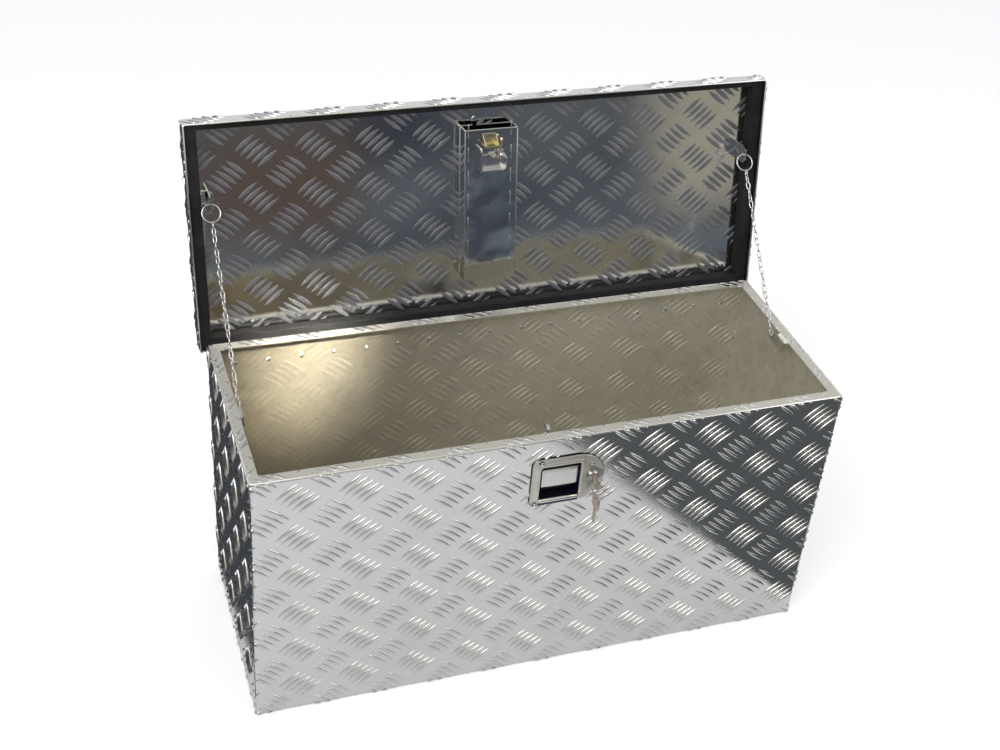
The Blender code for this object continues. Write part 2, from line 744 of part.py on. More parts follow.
def build_striker(finishes, lid):
    """The strap with its ear and shelf, the keeper with its window, and the buffer stud."""
    ear_front = KEEPER_FACE + KEEPER_THICKNESS + STRAP_BEHIND_KEEPER
    front = ear_front + STRAP_EAR_REACH
    back = front + STRAP_LENGTH
    base = STRIKER_BASE - STRAP_THICKNESS
    shelf_left = STUD_X - SHELF_BEFORE_STUD
    shelf_right = STUD_X + SHELF_BEYOND_STUD
    half = shelf_right + FIT_GAP
    foot = [
        (-half, front),
        (half, front),
        (half, back - STRAP_CORNER),
        (half - STRAP_CORNER, back),
        (-half, back),
    ]
    strap = add("striker_bracket", Shape().prism(foot, base, STRIKER_BASE, "Z"), finishes["zinc"], lid)
    inner = [
        (-half, back),
        (-half, back - STRAP_THICKNESS),
        (half - STRAP_CORNER, back - STRAP_THICKNESS),
        (half - STRAP_THICKNESS, back - STRAP_CORNER),
        (half - STRAP_THICKNESS, front + SHELF_FROM_FRONT),
        (half, front + SHELF_FROM_FRONT),
        (half, back - STRAP_CORNER),
        (half - STRAP_CORNER, back),
    ]
    join(strap, Shape().prism(inner, STRIKER_BASE - STRAP_WALL_HEIGHT, STRIKER_BASE - FIT_GAP, "Z"))
    ear = rounded(
        [
            (ear_front, STRIKER_BASE - STRAP_EAR_HEIGHT),
            (back, STRIKER_BASE - STRAP_EAR_HEIGHT),
            (back, STRIKER_BASE),
            (ear_front, STRIKER_BASE),
        ],
        STRAP_CORNER,
        2,
    )
    ear = ear[:6] + [(back, STRIKER_BASE), (ear_front, STRIKER_BASE)]
    join(strap, Shape().prism(ear, -half - STRAP_THICKNESS / 4, -half + STRAP_THICKNESS, "X"))
    shelf_y = front + SHELF_FROM_FRONT
    shelf = rounded(
        [
            (shelf_left, STRIKER_BASE - SHELF_HEIGHT),
            (shelf_right, STRIKER_BASE - SHELF_HEIGHT),
            (shelf_right, STRIKER_BASE - STRAP_THICKNESS / 2),
            (shelf_left, STRIKER_BASE - STRAP_THICKNESS / 2),
        ],
        STRAP_CORNER,
        2,
    )
    shelf = shelf[:6] + [
        (shelf_right, STRIKER_BASE - STRAP_THICKNESS / 2),
        (shelf_left, STRIKER_BASE - STRAP_THICKNESS / 2),
    ]
    join(strap, Shape().prism(shelf, shelf_y - STRAP_THICKNESS, shelf_y, "Y"))
    stud_z = STRIKER_BASE - STUD_DROP
    hole = STUD_RADIUS + FIT_GAP
    cut(
        strap,
        Shape().rod(
            hole,
            shelf_y - STRAP_THICKNESS - CUT_OVERRUN,
            shelf_y + CUT_OVERRUN,
            "Y",
            (STUD_X, stud_z),
            SMALL_SIDES,
        ),
    )
    build_stud(finishes, lid, shelf_y, stud_z)
    build_keeper(finishes, lid)


def build_stud(finishes, lid, shelf_y, stud_z):
    """The buffer stud through the shelf, with a collar, a ball end and its nut."""
    seat = shelf_y - STRAP_THICKNESS - FIT_GAP
    tip = shelf_y - STUD_REACH
    collar = seat - STUD_COLLAR_PLACE
    add(
        "striker_stud",
        Shape().turned(
            [
                (0.0, shelf_y + STUD_TAIL),
                (STUD_RADIUS, shelf_y + STUD_TAIL),
                (STUD_RADIUS, collar + STUD_COLLAR_LENGTH),
                (STUD_COLLAR, collar + STUD_COLLAR_LENGTH),
                (STUD_COLLAR, collar),
                (STUD_RADIUS, collar),
                (STUD_RADIUS, tip + STUD_BALL),
                (STUD_BALL, tip),
                (STUD_RADIUS, tip - STUD_BALL * DOME_SHOULDER_SHARE),
                (0.0, tip - STUD_BALL),
            ],
            "Y",
            (STUD_X, stud_z),
            SMALL_SIDES,
        ),
        finishes["steel"],
        lid,
    )
    bore = STUD_RADIUS + FIT_GAP
    add(
        "striker_nut",
        Shape().turned(
            [
                (bore, seat),
                (STUD_NUT_RADIUS, seat),
                (STUD_NUT_RADIUS, seat - STUD_NUT_LENGTH / 2),
                (bore + FIT_GAP, seat - STUD_NUT_LENGTH),
                (bore, seat - STUD_NUT_LENGTH),
            ],
            "Y",
            (STUD_X, stud_z),
            SMALL_SIDES,
        ),
        finishes["steel"],
        lid,
    )


def build_keeper(finishes, lid):
    """The plated keeper: a foot on the sleeve, a hanging plate with a window, and two gussets."""
    left = HOOK_CENTRE - KEEPER_HALF_WIDTH
    right = HOOK_CENTRE + KEEPER_HALF_WIDTH
    face = KEEPER_FACE
    bottom = WINDOW_LOW - KEEPER_BAR
    keeper = add(
        "striker_keeper",
        Shape().box((left, face, bottom), (right, face + KEEPER_THICKNESS, STRIKER_BASE)),
        finishes["brass"],
        lid,
    )
    join(
        keeper,
        Shape().box(
            (left, face - KEEPER_FOOT, STRIKER_BASE - KEEPER_FOOT_THICKNESS),
            (right, face + KEEPER_THICKNESS / 2, STRIKER_BASE - FIT_GAP / 2),
        ),
    )
    gusset = [
        (face - KEEPER_FOOT, STRIKER_BASE - KEEPER_FOOT_THICKNESS / 2),
        (face + KEEPER_THICKNESS / 2, bottom + KEEPER_BAR),
        (face + KEEPER_THICKNESS / 2, STRIKER_BASE - KEEPER_FOOT_THICKNESS / 2),
    ]
    gussets = Shape().prism(gusset, left + FIT_GAP / 2, left + KEEPER_GUSSET, "X")
    gussets.prism(gusset, right - KEEPER_GUSSET, right - FIT_GAP / 2, "X")
    join(keeper, gussets)
    cut(
        keeper,
        Shape().box(
            (HOOK_CENTRE - WINDOW_HALF_WIDTH, face - CUT_OVERRUN, WINDOW_LOW),
            (HOOK_CENTRE + WINDOW_HALF_WIDTH, face + KEEPER_THICKNESS + CUT_OVERRUN, WINDOW_HIGH),
        ),
    )


def lid_lug_hole():
    """The closed-lid place of the hole that holds the stay ring."""
    return Vector((0.0, from_pin(LID_LUG_REACH), LID_TOP - LID_LUG_HOLE_DEPTH))


def body_lug_hole():
    """The place of the hole that holds the chain's last link."""
    return Vector((0.0, from_pin(BODY_LUG_REACH), BODY_HEIGHT - BODY_LUG_HOLE_DROP))


def opened(point):
    """Where a point of the closed lid lies with the lid open."""
    pin = Vector((0.0, PIN_Y, PIN_Z))
    return pin + Matrix.Rotation(-LID_OPEN_ANGLE, 3, "X") @ (point - pin)


def build_lugs(finishes, lid, label, side):
    """One side's lid lug and body lug; side is -1 on the left and 1 on the right."""
    middle = side * (HALF_WIDTH - LUG_INBOARD)
    near = middle - LUG_THICKNESS / 2
    far = middle + LUG_THICKNESS / 2
    hole = lid_lug_hole()
    top = LID_INNER - FIT_GAP
    low = hole.z - LID_LUG_HOLE_EDGE
    front = hole.y - LID_LUG_HALF_LENGTH
    back = hole.y + LID_LUG_HALF_LENGTH
    ear = [
        (front, top),
        (front, low + LID_LUG_CHAMFER * 2),
        (front + LID_LUG_CHAMFER, low),
        (back - LID_LUG_CHAMFER, low),
        (back, low + LID_LUG_CHAMFER),
        (back, top),
    ]
    lug = add(f"lid_lug_{label}", Shape().prism(ear, near, far, "X"), finishes["plain"], lid)
    outer = middle + side * LID_LUG_FOOT
    join(
        lug,
        Shape().box(
            (min(middle, outer), hole.y - LID_LUG_FOOT_HALF, top - LUG_THICKNESS),
            (max(middle, outer), hole.y + LID_LUG_FOOT_HALF, top - FIT_GAP / 2),
        ),
    )
    low_x = near - CUT_OVERRUN
    high_x = far + CUT_OVERRUN
    cut(lug, Shape().rod(LUG_HOLE_RADIUS, low_x, high_x, "X", (hole.y, hole.z), ROD_SIDES))

    hole = body_lug_hole()
    top = BODY_HEIGHT - SHEET - FIT_GAP
    front = hole.y - BODY_LUG_AHEAD
    back = hole.y + BODY_LUG_BEHIND
    low = hole.z - BODY_LUG_HOLE_EDGE
    ear = rounded([(front, low), (back, low), (back, top), (front, top)], BODY_LUG_CORNER, 2)
    ear = ear[:6] + [
        (back, hole.z + BODY_LUG_SHOULDER),
        (front + BODY_LUG_FOOT_LENGTH, top),
        (front, top),
    ]
    lug = add(f"body_lug_{label}", Shape().prism(ear, near, far, "X"), finishes["plain"])
    outer = side * (HALF_WIDTH - SHEET - FIT_GAP)
    join(
        lug,
        Shape().box(
            (min(middle, outer), front + FIT_GAP / 2, top - LUG_THICKNESS),
            (max(middle, outer), front + BODY_LUG_FOOT_LENGTH, top - FIT_GAP / 2),
        ),
    )
    cut(lug, Shape().rod(LUG_HOLE_RADIUS, low_x, high_x, "X", (hole.y, hole.z), ROD_SIDES))


def link_path(start, along, across, length, width):
    """The middle of a link's wire: two half circles joined by straight sides."""
    radius = width / 2
    reach = radius / math.cos(math.pi / (2 * LINK_ARC_STEPS))
    points = []
    for end, turn in ((start + along * radius, math.pi / 2), (start + along * (length - radius), -math.pi / 2)):
        for step in range(LINK_ARC_STEPS + 1):
            angle = turn + math.pi * step / LINK_ARC_STEPS
            points.append(end + along * reach * math.cos(angle) + across * radius * math.sin(angle))
    return points


def build_chain(finishes, label, side):
    """One stay chain, straight from the lid's lug to the body's lug, in an upper and a lower run."""
    x = side * (HALF_WIDTH - LUG_INBOARD)
    top = opened(lid_lug_hole())
    top.x = x
    bottom = body_lug_hole()
    bottom.x = x
    along = (bottom - top).normalized()
    sideways = Vector((1.0, 0.0, 0.0))
    ring_radius = (STAY_RING_DIAMETER - STAY_RING_WIRE) / 2
    ring_start = LUG_HOLE_RADIUS - STAY_RING_WIRE / 2 - FIT_GAP
    link_width = CHAIN_LINK_WIDTH - CHAIN_WIRE
    weld_step = CHAIN_WIRE - CHAIN_WELD
    free_step = CHAIN_WIRE + FIT_GAP
    first = ring_start + 2 * ring_radius - (STAY_RING_WIRE + CHAIN_WIRE) / 2 + CHAIN_WELD
    last = (bottom - top).length - (LUG_HOLE_RADIUS - CHAIN_WIRE / 2 - FIT_GAP)
    count = round((last - first) / CHAIN_NOMINAL_PITCH)
    length = (last - first + (count - 2) * weld_step + free_step) / count
    quarter_turns = 2 * math.floor((count - 1) * CHAIN_TWIST / math.pi) + 1
    twist = quarter_turns * math.pi / 2 / (count - 1)
    upper_links = count - round(count * CHAIN_LOWER_SHARE)

    runs = {"upper": [], "lower": []}
    for index in range(count):
        start = first + index * (length - weld_step)
        if index >= upper_links:
            start -= free_step - weld_step
        turn = Matrix.Rotation(twist * index, 3, along)
        normal = turn @ sideways
        across = normal.cross(along)
        path = link_path(top + along * start, along, across, length, link_width)
        runs["upper" if index < upper_links else "lower"].append((path, normal))

    centre = top + along * (ring_start + ring_radius)
    normal = sideways.cross(along)
    ring = []
    for step in range(RING_STEPS):
        angle = 2 * math.pi * step / RING_STEPS
        ring.append(centre + (along * math.cos(angle) + sideways * math.sin(angle)) * ring_radius)

    for run, pivot in (("upper", top), ("lower", bottom)):
        holder = holder_at(f"pivot_chain_{label}_{run}", pivot)
        meshes = (Shape(), Shape())
        for index, (path, flat) in enumerate(runs[run]):
            meshes[index % 2].loop(path, flat, CHAIN_WIRE / 2, LINK_SIDES)
        if run == "upper":
            meshes[1].loop(ring, normal, STAY_RING_WIRE / 2, LINK_SIDES)
        links = add(f"stay_chain_{label}_{run}", meshes[0], finishes["chrome"], holder)
        join(links, meshes[1])


def build_pan(finishes):
    """The seal, the stamped dish with its pocket and the rivets that hold them."""
    seal_high = LATCH_SEAT
    seal_low = LATCH_SEAT - PLATE_SEAL
    seal = add(
        "latch_gasket",
        Shape().prism(plate_outline(-WALL_CLEARANCE), seal_low, seal_high, "Y"),
        finishes["foam"],
    )
    hole = Shape().prism(latch_cutout(FIT_GAP), seal_low - CUT_OVERRUN, seal_high + CUT_OVERRUN, "Y")
    hole.rod(
        LOCK_BARREL_RADIUS + FIT_GAP,
        seal_low - CUT_OVERRUN,
        seal_high + CUT_OVERRUN,
        "Y",
        (LOCK_X, LOCK_Z),
        ROD_SIDES,
    )
    cut(seal, hole)
    cut(seal, latch_holes(FIT_GAP, seal_low - CUT_OVERRUN, seal_high + CUT_OVERRUN))

    pan = add(
        "latch_pan",
        Shape().prism(plate_outline(), PLATE_FACE, PLATE_BACK, "Y"),
        finishes["polished"],
    )
    frame = rounded(
        rectangle(
            -POCKET_HALF_WIDTH - FRAME_MARGIN,
            POCKET_BOTTOM - FRAME_MARGIN / 3,
            POCKET_HALF_WIDTH + FRAME_MARGIN,
            POCKET_TOP + FRAME_MARGIN,
        ),
        FRAME_CORNER,
    )
    join(pan, Shape().prism(frame, PLATE_FACE - FRAME_RISE, PLATE_BACK - PLATE_THICKNESS / 2, "Y"))
    join(pan, Shape().prism(latch_cutout(0.0), PLATE_BACK - PLATE_THICKNESS / 2, PAN_BACK, "Y"))
    pocket = rounded(
        rectangle(-POCKET_HALF_WIDTH, POCKET_BOTTOM, POCKET_HALF_WIDTH, POCKET_TOP),
        POCKET_CORNER,
        2,
    )
    cut(pan, Shape().prism(pocket, PLATE_FACE - CUT_OVERRUN, PAN_BACK - PAN_WALL, "Y"))
    bar_z = POCKET_BOTTOM + PAN_BAR_RADIUS / 2
    reach = POCKET_HALF_WIDTH + PAN_WALL / 2
    join(pan, Shape().rod(PAN_BAR_RADIUS, -reach, reach, "X", (FRONT, bar_z), ROD_SIDES))
    openings = Shape().rod(
        LOCK_BARREL_RADIUS + FIT_GAP,
        PLATE_FACE - CUT_OVERRUN,
        PLATE_BACK + CUT_OVERRUN,
        "Y",
        (LOCK_X, LOCK_Z),
        ROD_SIDES,
    )
    openings.prism(finger_slot(), PAN_BACK - PAN_WALL - CUT_OVERRUN, PAN_BACK + CUT_OVERRUN, "Y")
    pin_y = FRONT + PADDLE_PIN_DEPTH
    wide = POCKET_HALF_WIDTH + PAN_WALL + CUT_OVERRUN
    openings.rod(PADDLE_PIN_RADIUS + FIT_GAP, -wide, wide, "X", (pin_y, PADDLE_PIN_Z), SMALL_SIDES)
    cut(pan, openings)
    cut(pan, latch_holes(FIT_GAP, PLATE_FACE - FRAME_RISE - CUT_OVERRUN, PLATE_BACK + CUT_OVERRUN))
    inner = FRONT + SHEET + FIT_GAP
    for index, (x, z) in enumerate(latch_rivet_places()):
        on_frame = abs(x) < POCKET_HALF_WIDTH + FRAME_MARGIN
        seat = PLATE_FACE - (FRAME_RISE if on_frame else 0.0) - FIT_GAP
        profile = rivet_profile(LATCH_RIVET_SHANK, LATCH_RIVET_HEAD, LATCH_RIVET_DOME, seat, inner)
        add(
            f"latch_rivet_{index + 1}",
            Shape().turned(profile, "Y", (x, z), SMALL_SIDES),
            finishes["polished"],
        )


def finger_slot():
    """The outline of the slot that the paddle's finger works through."""
    half = FINGER_HALF_WIDTH + FINGER_SLOT_CLEARANCE
    return rectangle(
        HOOK_CENTRE - half,
        PADDLE_PIN_Z - FINGER_HALF_HEIGHT - FINGER_SLOT_DROP,
        HOOK_CENTRE + half,
        PADDLE_PIN_Z + FINGER_HALF_HEIGHT + FINGER_SLOT_CLEARANCE,
    )


def build_paddle(finishes):
    """The paddle with its rolled edge, scalloped lip and rear finger, on its pin."""
    pin = (FRONT + PADDLE_PIN_DEPTH, PADDLE_PIN_Z)
    pivot = holder_at("pivot_paddle", (0.0, *pin))
    half = POCKET_HALF_WIDTH - PADDLE_SIDE_GAP
    face = pin[0] - PADDLE_ROLL_RADIUS
    inner = face + PADDLE_SHEET
    bend = PADDLE_PIN_Z - PADDLE_FACE_LENGTH
    tip = bend - PADDLE_LIP_DROP
    profile = [
        (face, PADDLE_PIN_Z),
        (face, bend),
        (face + PADDLE_LIP_RETURN - PADDLE_SHEET, tip),
        (face + PADDLE_LIP_RETURN, tip + PADDLE_SHEET / 2),
        (inner, bend + PADDLE_SHEET / 2),
        (inner, PADDLE_PIN_Z),
    ]
    paddle = add("latch_paddle", Shape().prism(profile, -half, half, "X"), finishes["polished"], pivot)
    join(paddle, Shape().rod(PADDLE_ROLL_RADIUS, -half, half, "X", pin, ROD_SIDES))
    finger = rectangle(
        pin[0],
        PADDLE_PIN_Z - FINGER_HALF_HEIGHT,
        HOOK_ARM_TIP + FINGER_LAP,
        PADDLE_PIN_Z + FINGER_HALF_HEIGHT,
    )
    join(
        paddle,
        Shape().prism(finger, HOOK_CENTRE - FINGER_HALF_WIDTH, HOOK_CENTRE + FINGER_HALF_WIDTH, "X"),
    )
    cut(
        paddle,
        Shape().rod(
            PADDLE_PIN_RADIUS + FIT_GAP,
            -half - CUT_OVERRUN,
            half + CUT_OVERRUN,
            "X",
            pin,
            SMALL_SIDES,
        ),
    )
    left, left_in, right_in, right = [share * half for share in PADDLE_SCALLOP_SHARES]
    under = tip - CUT_OVERRUN
    notch = bend - PADDLE_LIP_DROP / 4
    deep = face + PADDLE_LIP_RETURN + CUT_OVERRUN
    scallops = Shape().prism(
        [(-half - CUT_OVERRUN, under), (left_in, under), (left, notch), (-half - CUT_OVERRUN, notch)],
        face - CUT_OVERRUN,
        deep,
        "Y",
    )
    scallops.prism(
        [(right_in, under), (half + CUT_OVERRUN, under), (half + CUT_OVERRUN, notch), (right, notch)],
        face - CUT_OVERRUN,
        deep,
        "Y",
    )
    cut(paddle, scallops)
    reach = POCKET_HALF_WIDTH + PAN_WALL
    add(
        "paddle_pin",
        Shape().rod(PADDLE_PIN_RADIUS, -reach, reach, "X", pin, SMALL_SIDES),
        finishes["steel"],
    )


def build_hook(finishes):
    """The spring hook behind the pan, its bracket, its pin and its coil spring."""
    pin = (FRONT + HOOK_PIN_DEPTH, HOOK_PIN_Z)
    pivot = holder_at("pivot_hook", (HOOK_CENTRE, *pin))
    y, z = pin
    arm_low = HOOK_ARM_TOP - HOOK_ARM_DEPTH
    arm_root = HOOK_ARM_TIP + HOOK_ARM_LENGTH
    outline = [
        (y + HOOK_NOSE_REACH, z + HOOK_NOSE_BOTTOM),
        (y + HOOK_NOSE_REACH, z + HOOK_NOSE_BOTTOM + HOOK_NOSE_REACH / 3),
        (y + HOOK_NOSE_REACH / 2, z + HOOK_NOSE_TOP),
        (y - HOOK_STEM_FRONT / 3, z + HOOK_NOSE_TOP),
        (y - HOOK_STEM_FRONT, z + HOOK_NOSE_BOTTOM + HOOK_NOSE_REACH / 3),
        (y - HOOK_STEM_FRONT, z + HOOK_STEM_FRONT),
        (y - HOOK_STEM_FRONT, z),
        (arm_root, HOOK_ARM_TOP),
        (HOOK_ARM_TIP, HOOK_ARM_TOP),
        (HOOK_ARM_TIP, arm_low),
        (arm_root, arm_low),
        (y - HOOK_PIN_RADIUS, z - HOOK_STEM_FRONT),
        (y + HOOK_PIN_RADIUS, z - HOOK_STEM_FRONT),
        (y + HOOK_STEM_FRONT, z - HOOK_PIN_RADIUS),
        (y + HOOK_STEM_FRONT, z + HOOK_PIN_RADIUS),
        (y - HOOK_STEM_BACK, z + HOOK_NOSE_REACH),
        (y - HOOK_STEM_BACK, z + HOOK_NOSE_BOTTOM),
    ]
    low = HOOK_CENTRE - HOOK_THICKNESS / 2
    high = HOOK_CENTRE + HOOK_THICKNESS / 2
    hook = add("latch_hook", Shape().prism(outline, low, high, "X"), finishes["zinc"], pivot)
    bore = HOOK_PIN_RADIUS + FIT_GAP
    cut(hook, Shape().rod(bore, low - CUT_OVERRUN, high + CUT_OVERRUN, "X", pin, SMALL_SIDES))

    seat = PAN_BACK + FIT_GAP
    base_back = seat + CHEEK_THICKNESS
    gap = HOOK_THICKNESS / 2 + CHEEK_GAP
    outer = gap + CHEEK_THICKNESS
    base = rectangle(
        HOOK_CENTRE - outer - BRACKET_EAR,
        POCKET_TOP - BRACKET_HEIGHT,
        HOOK_CENTRE + outer + BRACKET_EAR,
        POCKET_TOP,
    )
    bracket = add("latch_housing", Shape().prism(base, seat, base_back, "Y"), finishes["zinc"])
    cheek = rounded(
        [
            (seat + FIT_GAP / 2, POCKET_TOP - CHEEK_HEIGHT),
            (HOOK_ARM_TIP, POCKET_TOP - CHEEK_HEIGHT),
            (y + CHEEK_BACK_MARGIN, z - CHEEK_BACK_MARGIN),
            (y + CHEEK_BACK_MARGIN, z + CHEEK_BACK_MARGIN),
            (y - CHEEK_BACK_MARGIN, z + CHEEK_BACK_MARGIN),
            (seat + FIT_GAP / 2, POCKET_TOP - FIT_GAP / 2),
        ],
        HOOK_PIN_RADIUS,
        2,
    )
    cheeks = Shape()
    for way in (-1, 1):
        near = HOOK_CENTRE + way * gap
        far = HOOK_CENTRE + way * outer
        cheeks.prism(cheek, min(near, far), max(near, far), "X")
    join(bracket, cheeks)
    openings = Shape().prism(finger_slot(), seat - CUT_OVERRUN, base_back + CUT_OVERRUN, "Y")
    cut(bracket, openings)
    reach = outer + CHEEK_THICKNESS
    cut(
        bracket,
        Shape().rod(bore, HOOK_CENTRE - reach, HOOK_CENTRE + reach, "X", pin, SMALL_SIDES),
    )
    head = HOOK_PIN_RADIUS * PIN_HEAD_SHARE
    near = HOOK_CENTRE - outer - FIT_GAP
    far = HOOK_CENTRE + outer + FIT_GAP
    add(
        "hook_pin",
        Shape().turned(
            [
                (0.0, near - CHEEK_THICKNESS),
                (head, near - CHEEK_THICKNESS),
                (head, near),
                (HOOK_PIN_RADIUS, near),
                (HOOK_PIN_RADIUS, far + coil_width() + CHEEK_THICKNESS),
                (0.0, far + coil_width() + CHEEK_THICKNESS),
            ],
            "X",
            pin,
            SMALL_SIDES,
        ),
        finishes["steel"],
    )
    build_spring(finishes, far, y, z)


def coil_width():
    """The length of the hook spring along its pin."""
    return SPRING_TURNS * (SPRING_WIRE + FIT_GAP) + SPRING_WIRE


def build_spring(finishes, start, y, z):
    """A coil round the end of the hook pin, outside the bracket."""
    radius = HOOK_PIN_RADIUS + FIT_GAP + SPRING_WIRE / 2
    pitch = SPRING_WIRE + FIT_GAP
    begin = start + SPRING_WIRE / 2 + FIT_GAP
    data = bpy.data.curves.new("hook_spring", "CURVE")
    data.dimensions = "3D"
    data.bevel_depth = SPRING_WIRE / 2
    data.bevel_resolution = 1
    data.use_fill_caps = True
    count = SPRING_TURNS * SPRING_TURN_POINTS
    line = data.splines.new("POLY")
    line.points.add(count - 1)
    for index in range(count):
        angle = 2 * math.pi * index / SPRING_TURN_POINTS
        line.points[index].co = (
            begin - HOOK_CENTRE + pitch * index / SPRING_TURN_POINTS,
            radius * math.cos(angle),
            radius * math.sin(angle),
            1.0,
        )
    data.materials.append(finishes["steel"])
    made = bpy.data.objects.new("hook_spring", data)
    made.location = (HOOK_CENTRE, y, z)
    bpy.context.scene.collection.objects.link(made)


def key_outline(tip, shoulder, centre, way):
    """A key's flat outline along its length: a blade and a bow, with its length on the first axis."""
    blade = KEY_BLADE_HALF_HEIGHT
    end = shoulder + way * BOW_LENGTH
    bow = rounded(
        [
            (shoulder, centre - BOW_HALF_WIDTH),
            (end, centre - BOW_HALF_WIDTH),
            (end, centre + BOW_HALF_WIDTH),
            (shoulder, centre + BOW_HALF_WIDTH),
        ],
        BOW_CORNER,
        2,
    )
    return bow + [
        (shoulder, centre + blade),
        (tip, centre + blade),
        (tip, centre - blade),
        (shoulder, centre - blade),
    ]


def build_lock(finishes):
    """The lock body and its nut, and the plug with its cam and key, which turn together."""
    centre = (LOCK_X, LOCK_Z)
    seat = PLATE_FACE - FIT_GAP
    dome = seat - LOCK_DOME_HEIGHT
    end = FRONT + LOCK_BARREL_DEPTH
    bore = LOCK_PLUG_RADIUS + FIT_GAP
    profile = [(LOCK_BARREL_RADIUS, seat), (LOCK_BARREL_RADIUS, end), (bore, end), (bore, dome)]
    crown = LOCK_DOME_RADIUS - bore - FIT_GAP
    for step in range(LOCK_DOME_STEPS + 1):
        angle = math.pi / 2 * step / LOCK_DOME_STEPS
        out = LOCK_DOME_RADIUS - crown * (1 - math.sin(angle))
        profile.append((out, seat - (seat - dome) * math.cos(angle)))
    add("lock_cylinder", Shape().turned(profile, "Y", centre, ROD_SIDES), finishes["chrome"])
    nut_low = FRONT + SHEET + FIT_GAP
    nut_corner = LOCK_NUT_FLATS / 2 / math.cos(math.pi / 6)
    nut = add(
        "lock_nut",
        Shape().rod(nut_corner, nut_low, nut_low + LOCK_NUT_THICKNESS, "Y", centre, 6),
        finishes["zinc"],
    )
    cut(
        nut,
        Shape().rod(
            LOCK_BARREL_RADIUS + FIT_GAP,
            nut_low - CUT_OVERRUN,
            nut_low + LOCK_NUT_THICKNESS + CUT_OVERRUN,
            "Y",
            centre,
            ROD_SIDES,
        ),
    )

    turning = holder_at("pivot_lock", (LOCK_X, dome, LOCK_Z))
    cam_near = end + 2 * FIT_GAP
    cam_far = cam_near + CAM_THICKNESS
    plug = add(
        "lock_plug",
        Shape().turned(
            [
                (0.0, dome),
                (LOCK_PLUG_RADIUS, dome),
                (LOCK_PLUG_RADIUS, end + FIT_GAP),
                (CAM_STUD_RADIUS, end + FIT_GAP),
                (CAM_STUD_RADIUS, cam_far + CAM_THICKNESS),
                (0.0, cam_far + CAM_THICKNESS),
            ],
            "Y",
            centre,
            ROD_SIDES,
        ),
        finishes["chrome"],
        turning,
    )
    half = KEY_THICKNESS / 2 + FIT_GAP
    high = KEY_BLADE_HALF_HEIGHT + FIT_GAP
    cut(
        plug,
        Shape().box(
            (LOCK_X - half, dome - CUT_OVERRUN, LOCK_Z - high),
            (LOCK_X + half, dome + KEY_SLOT_DEPTH + FIT_GAP, LOCK_Z + high),
        ),
    )
    cam = add(
        "lock_cam",
        Shape().prism(
            rounded(
                rectangle(
                    LOCK_X - CAM_HALF_WIDTH,
                    LOCK_Z - CAM_HALF_WIDTH,
                    LOCK_X + CAM_HALF_WIDTH,
                    LOCK_Z + CAM_LENGTH,
                ),
                CAM_HALF_WIDTH / 2,
                2,
            ),
            cam_near,
            cam_far,
            "Y",
        ),
        finishes["zinc"],
        turning,
    )
    cut(
        cam,
        Shape().rod(
            CAM_STUD_RADIUS + FIT_GAP,
            cam_near - CUT_OVERRUN,
            cam_far + CUT_OVERRUN,
            "Y",
            centre,
            ROD_SIDES,
        ),
    )
    build_keys(finishes, turning, dome)


def key_piece(name, finishes, holder, outline, hole):
    """A flat key upright in the plane across X, with the hole in its bow."""
    low = LOCK_X - KEY_THICKNESS / 2
    high = LOCK_X + KEY_THICKNESS / 2
    key = add(name, Shape().prism(outline, low, high, "X"), finishes["steel"], holder)
    cut(key, Shape().rod(BOW_HOLE_RADIUS, low - CUT_OVERRUN, high + CUT_OVERRUN, "X", hole, ROD_SIDES))


def build_keys(finishes, turning, dome):
    """The key in the lock, the ring through its bow and the spare key that hangs from the ring."""
    shoulder = dome - KEY_SHOULDER_GAP
    tip = shoulder + KEY_BLADE_LENGTH - KEY_SLOT_DEPTH / 2
    hole = (
        shoulder - BOW_LENGTH + BOW_HOLE_INSET,
        LOCK_Z - BOW_HALF_WIDTH + BOW_HOLE_INSET,
    )
    key_piece("key", finishes, turning, key_outline(tip, shoulder, LOCK_Z, -1), hole)

    hang = BOW_HOLE_RADIUS - KEY_RING_WIRE / 2 - FIT_GAP / 2
    centre = Vector((LOCK_X, hole[0], hole[1] - hang - KEY_RING_RADIUS))
    path = []
    for step in range(RING_STEPS):
        angle = 2 * math.pi * step / RING_STEPS
        path.append(centre + Vector((math.cos(angle), 0.0, math.sin(angle))) * KEY_RING_RADIUS)
    ring = Shape().loop(path, Vector((0.0, 1.0, 0.0)), KEY_RING_WIRE / 2, LINK_SIDES)
    add("key_ring", ring, finishes["steel"], holder_at("pivot_ring", (LOCK_X, *hole)))

    spare_hole = (hole[0], centre.z - KEY_RING_RADIUS - hang)
    top = spare_hole[1] + BOW_HOLE_INSET
    shoulder = top - BOW_LENGTH
    tip = shoulder - KEY_BLADE_LENGTH + BOW_HOLE_INSET
    flat = [(y, z) for z, y in key_outline(tip, shoulder, spare_hole[0], 1)]
    key_piece("spare_key", finishes, holder_at("pivot_spare", (LOCK_X, *spare_hole)), flat, spare_hole)


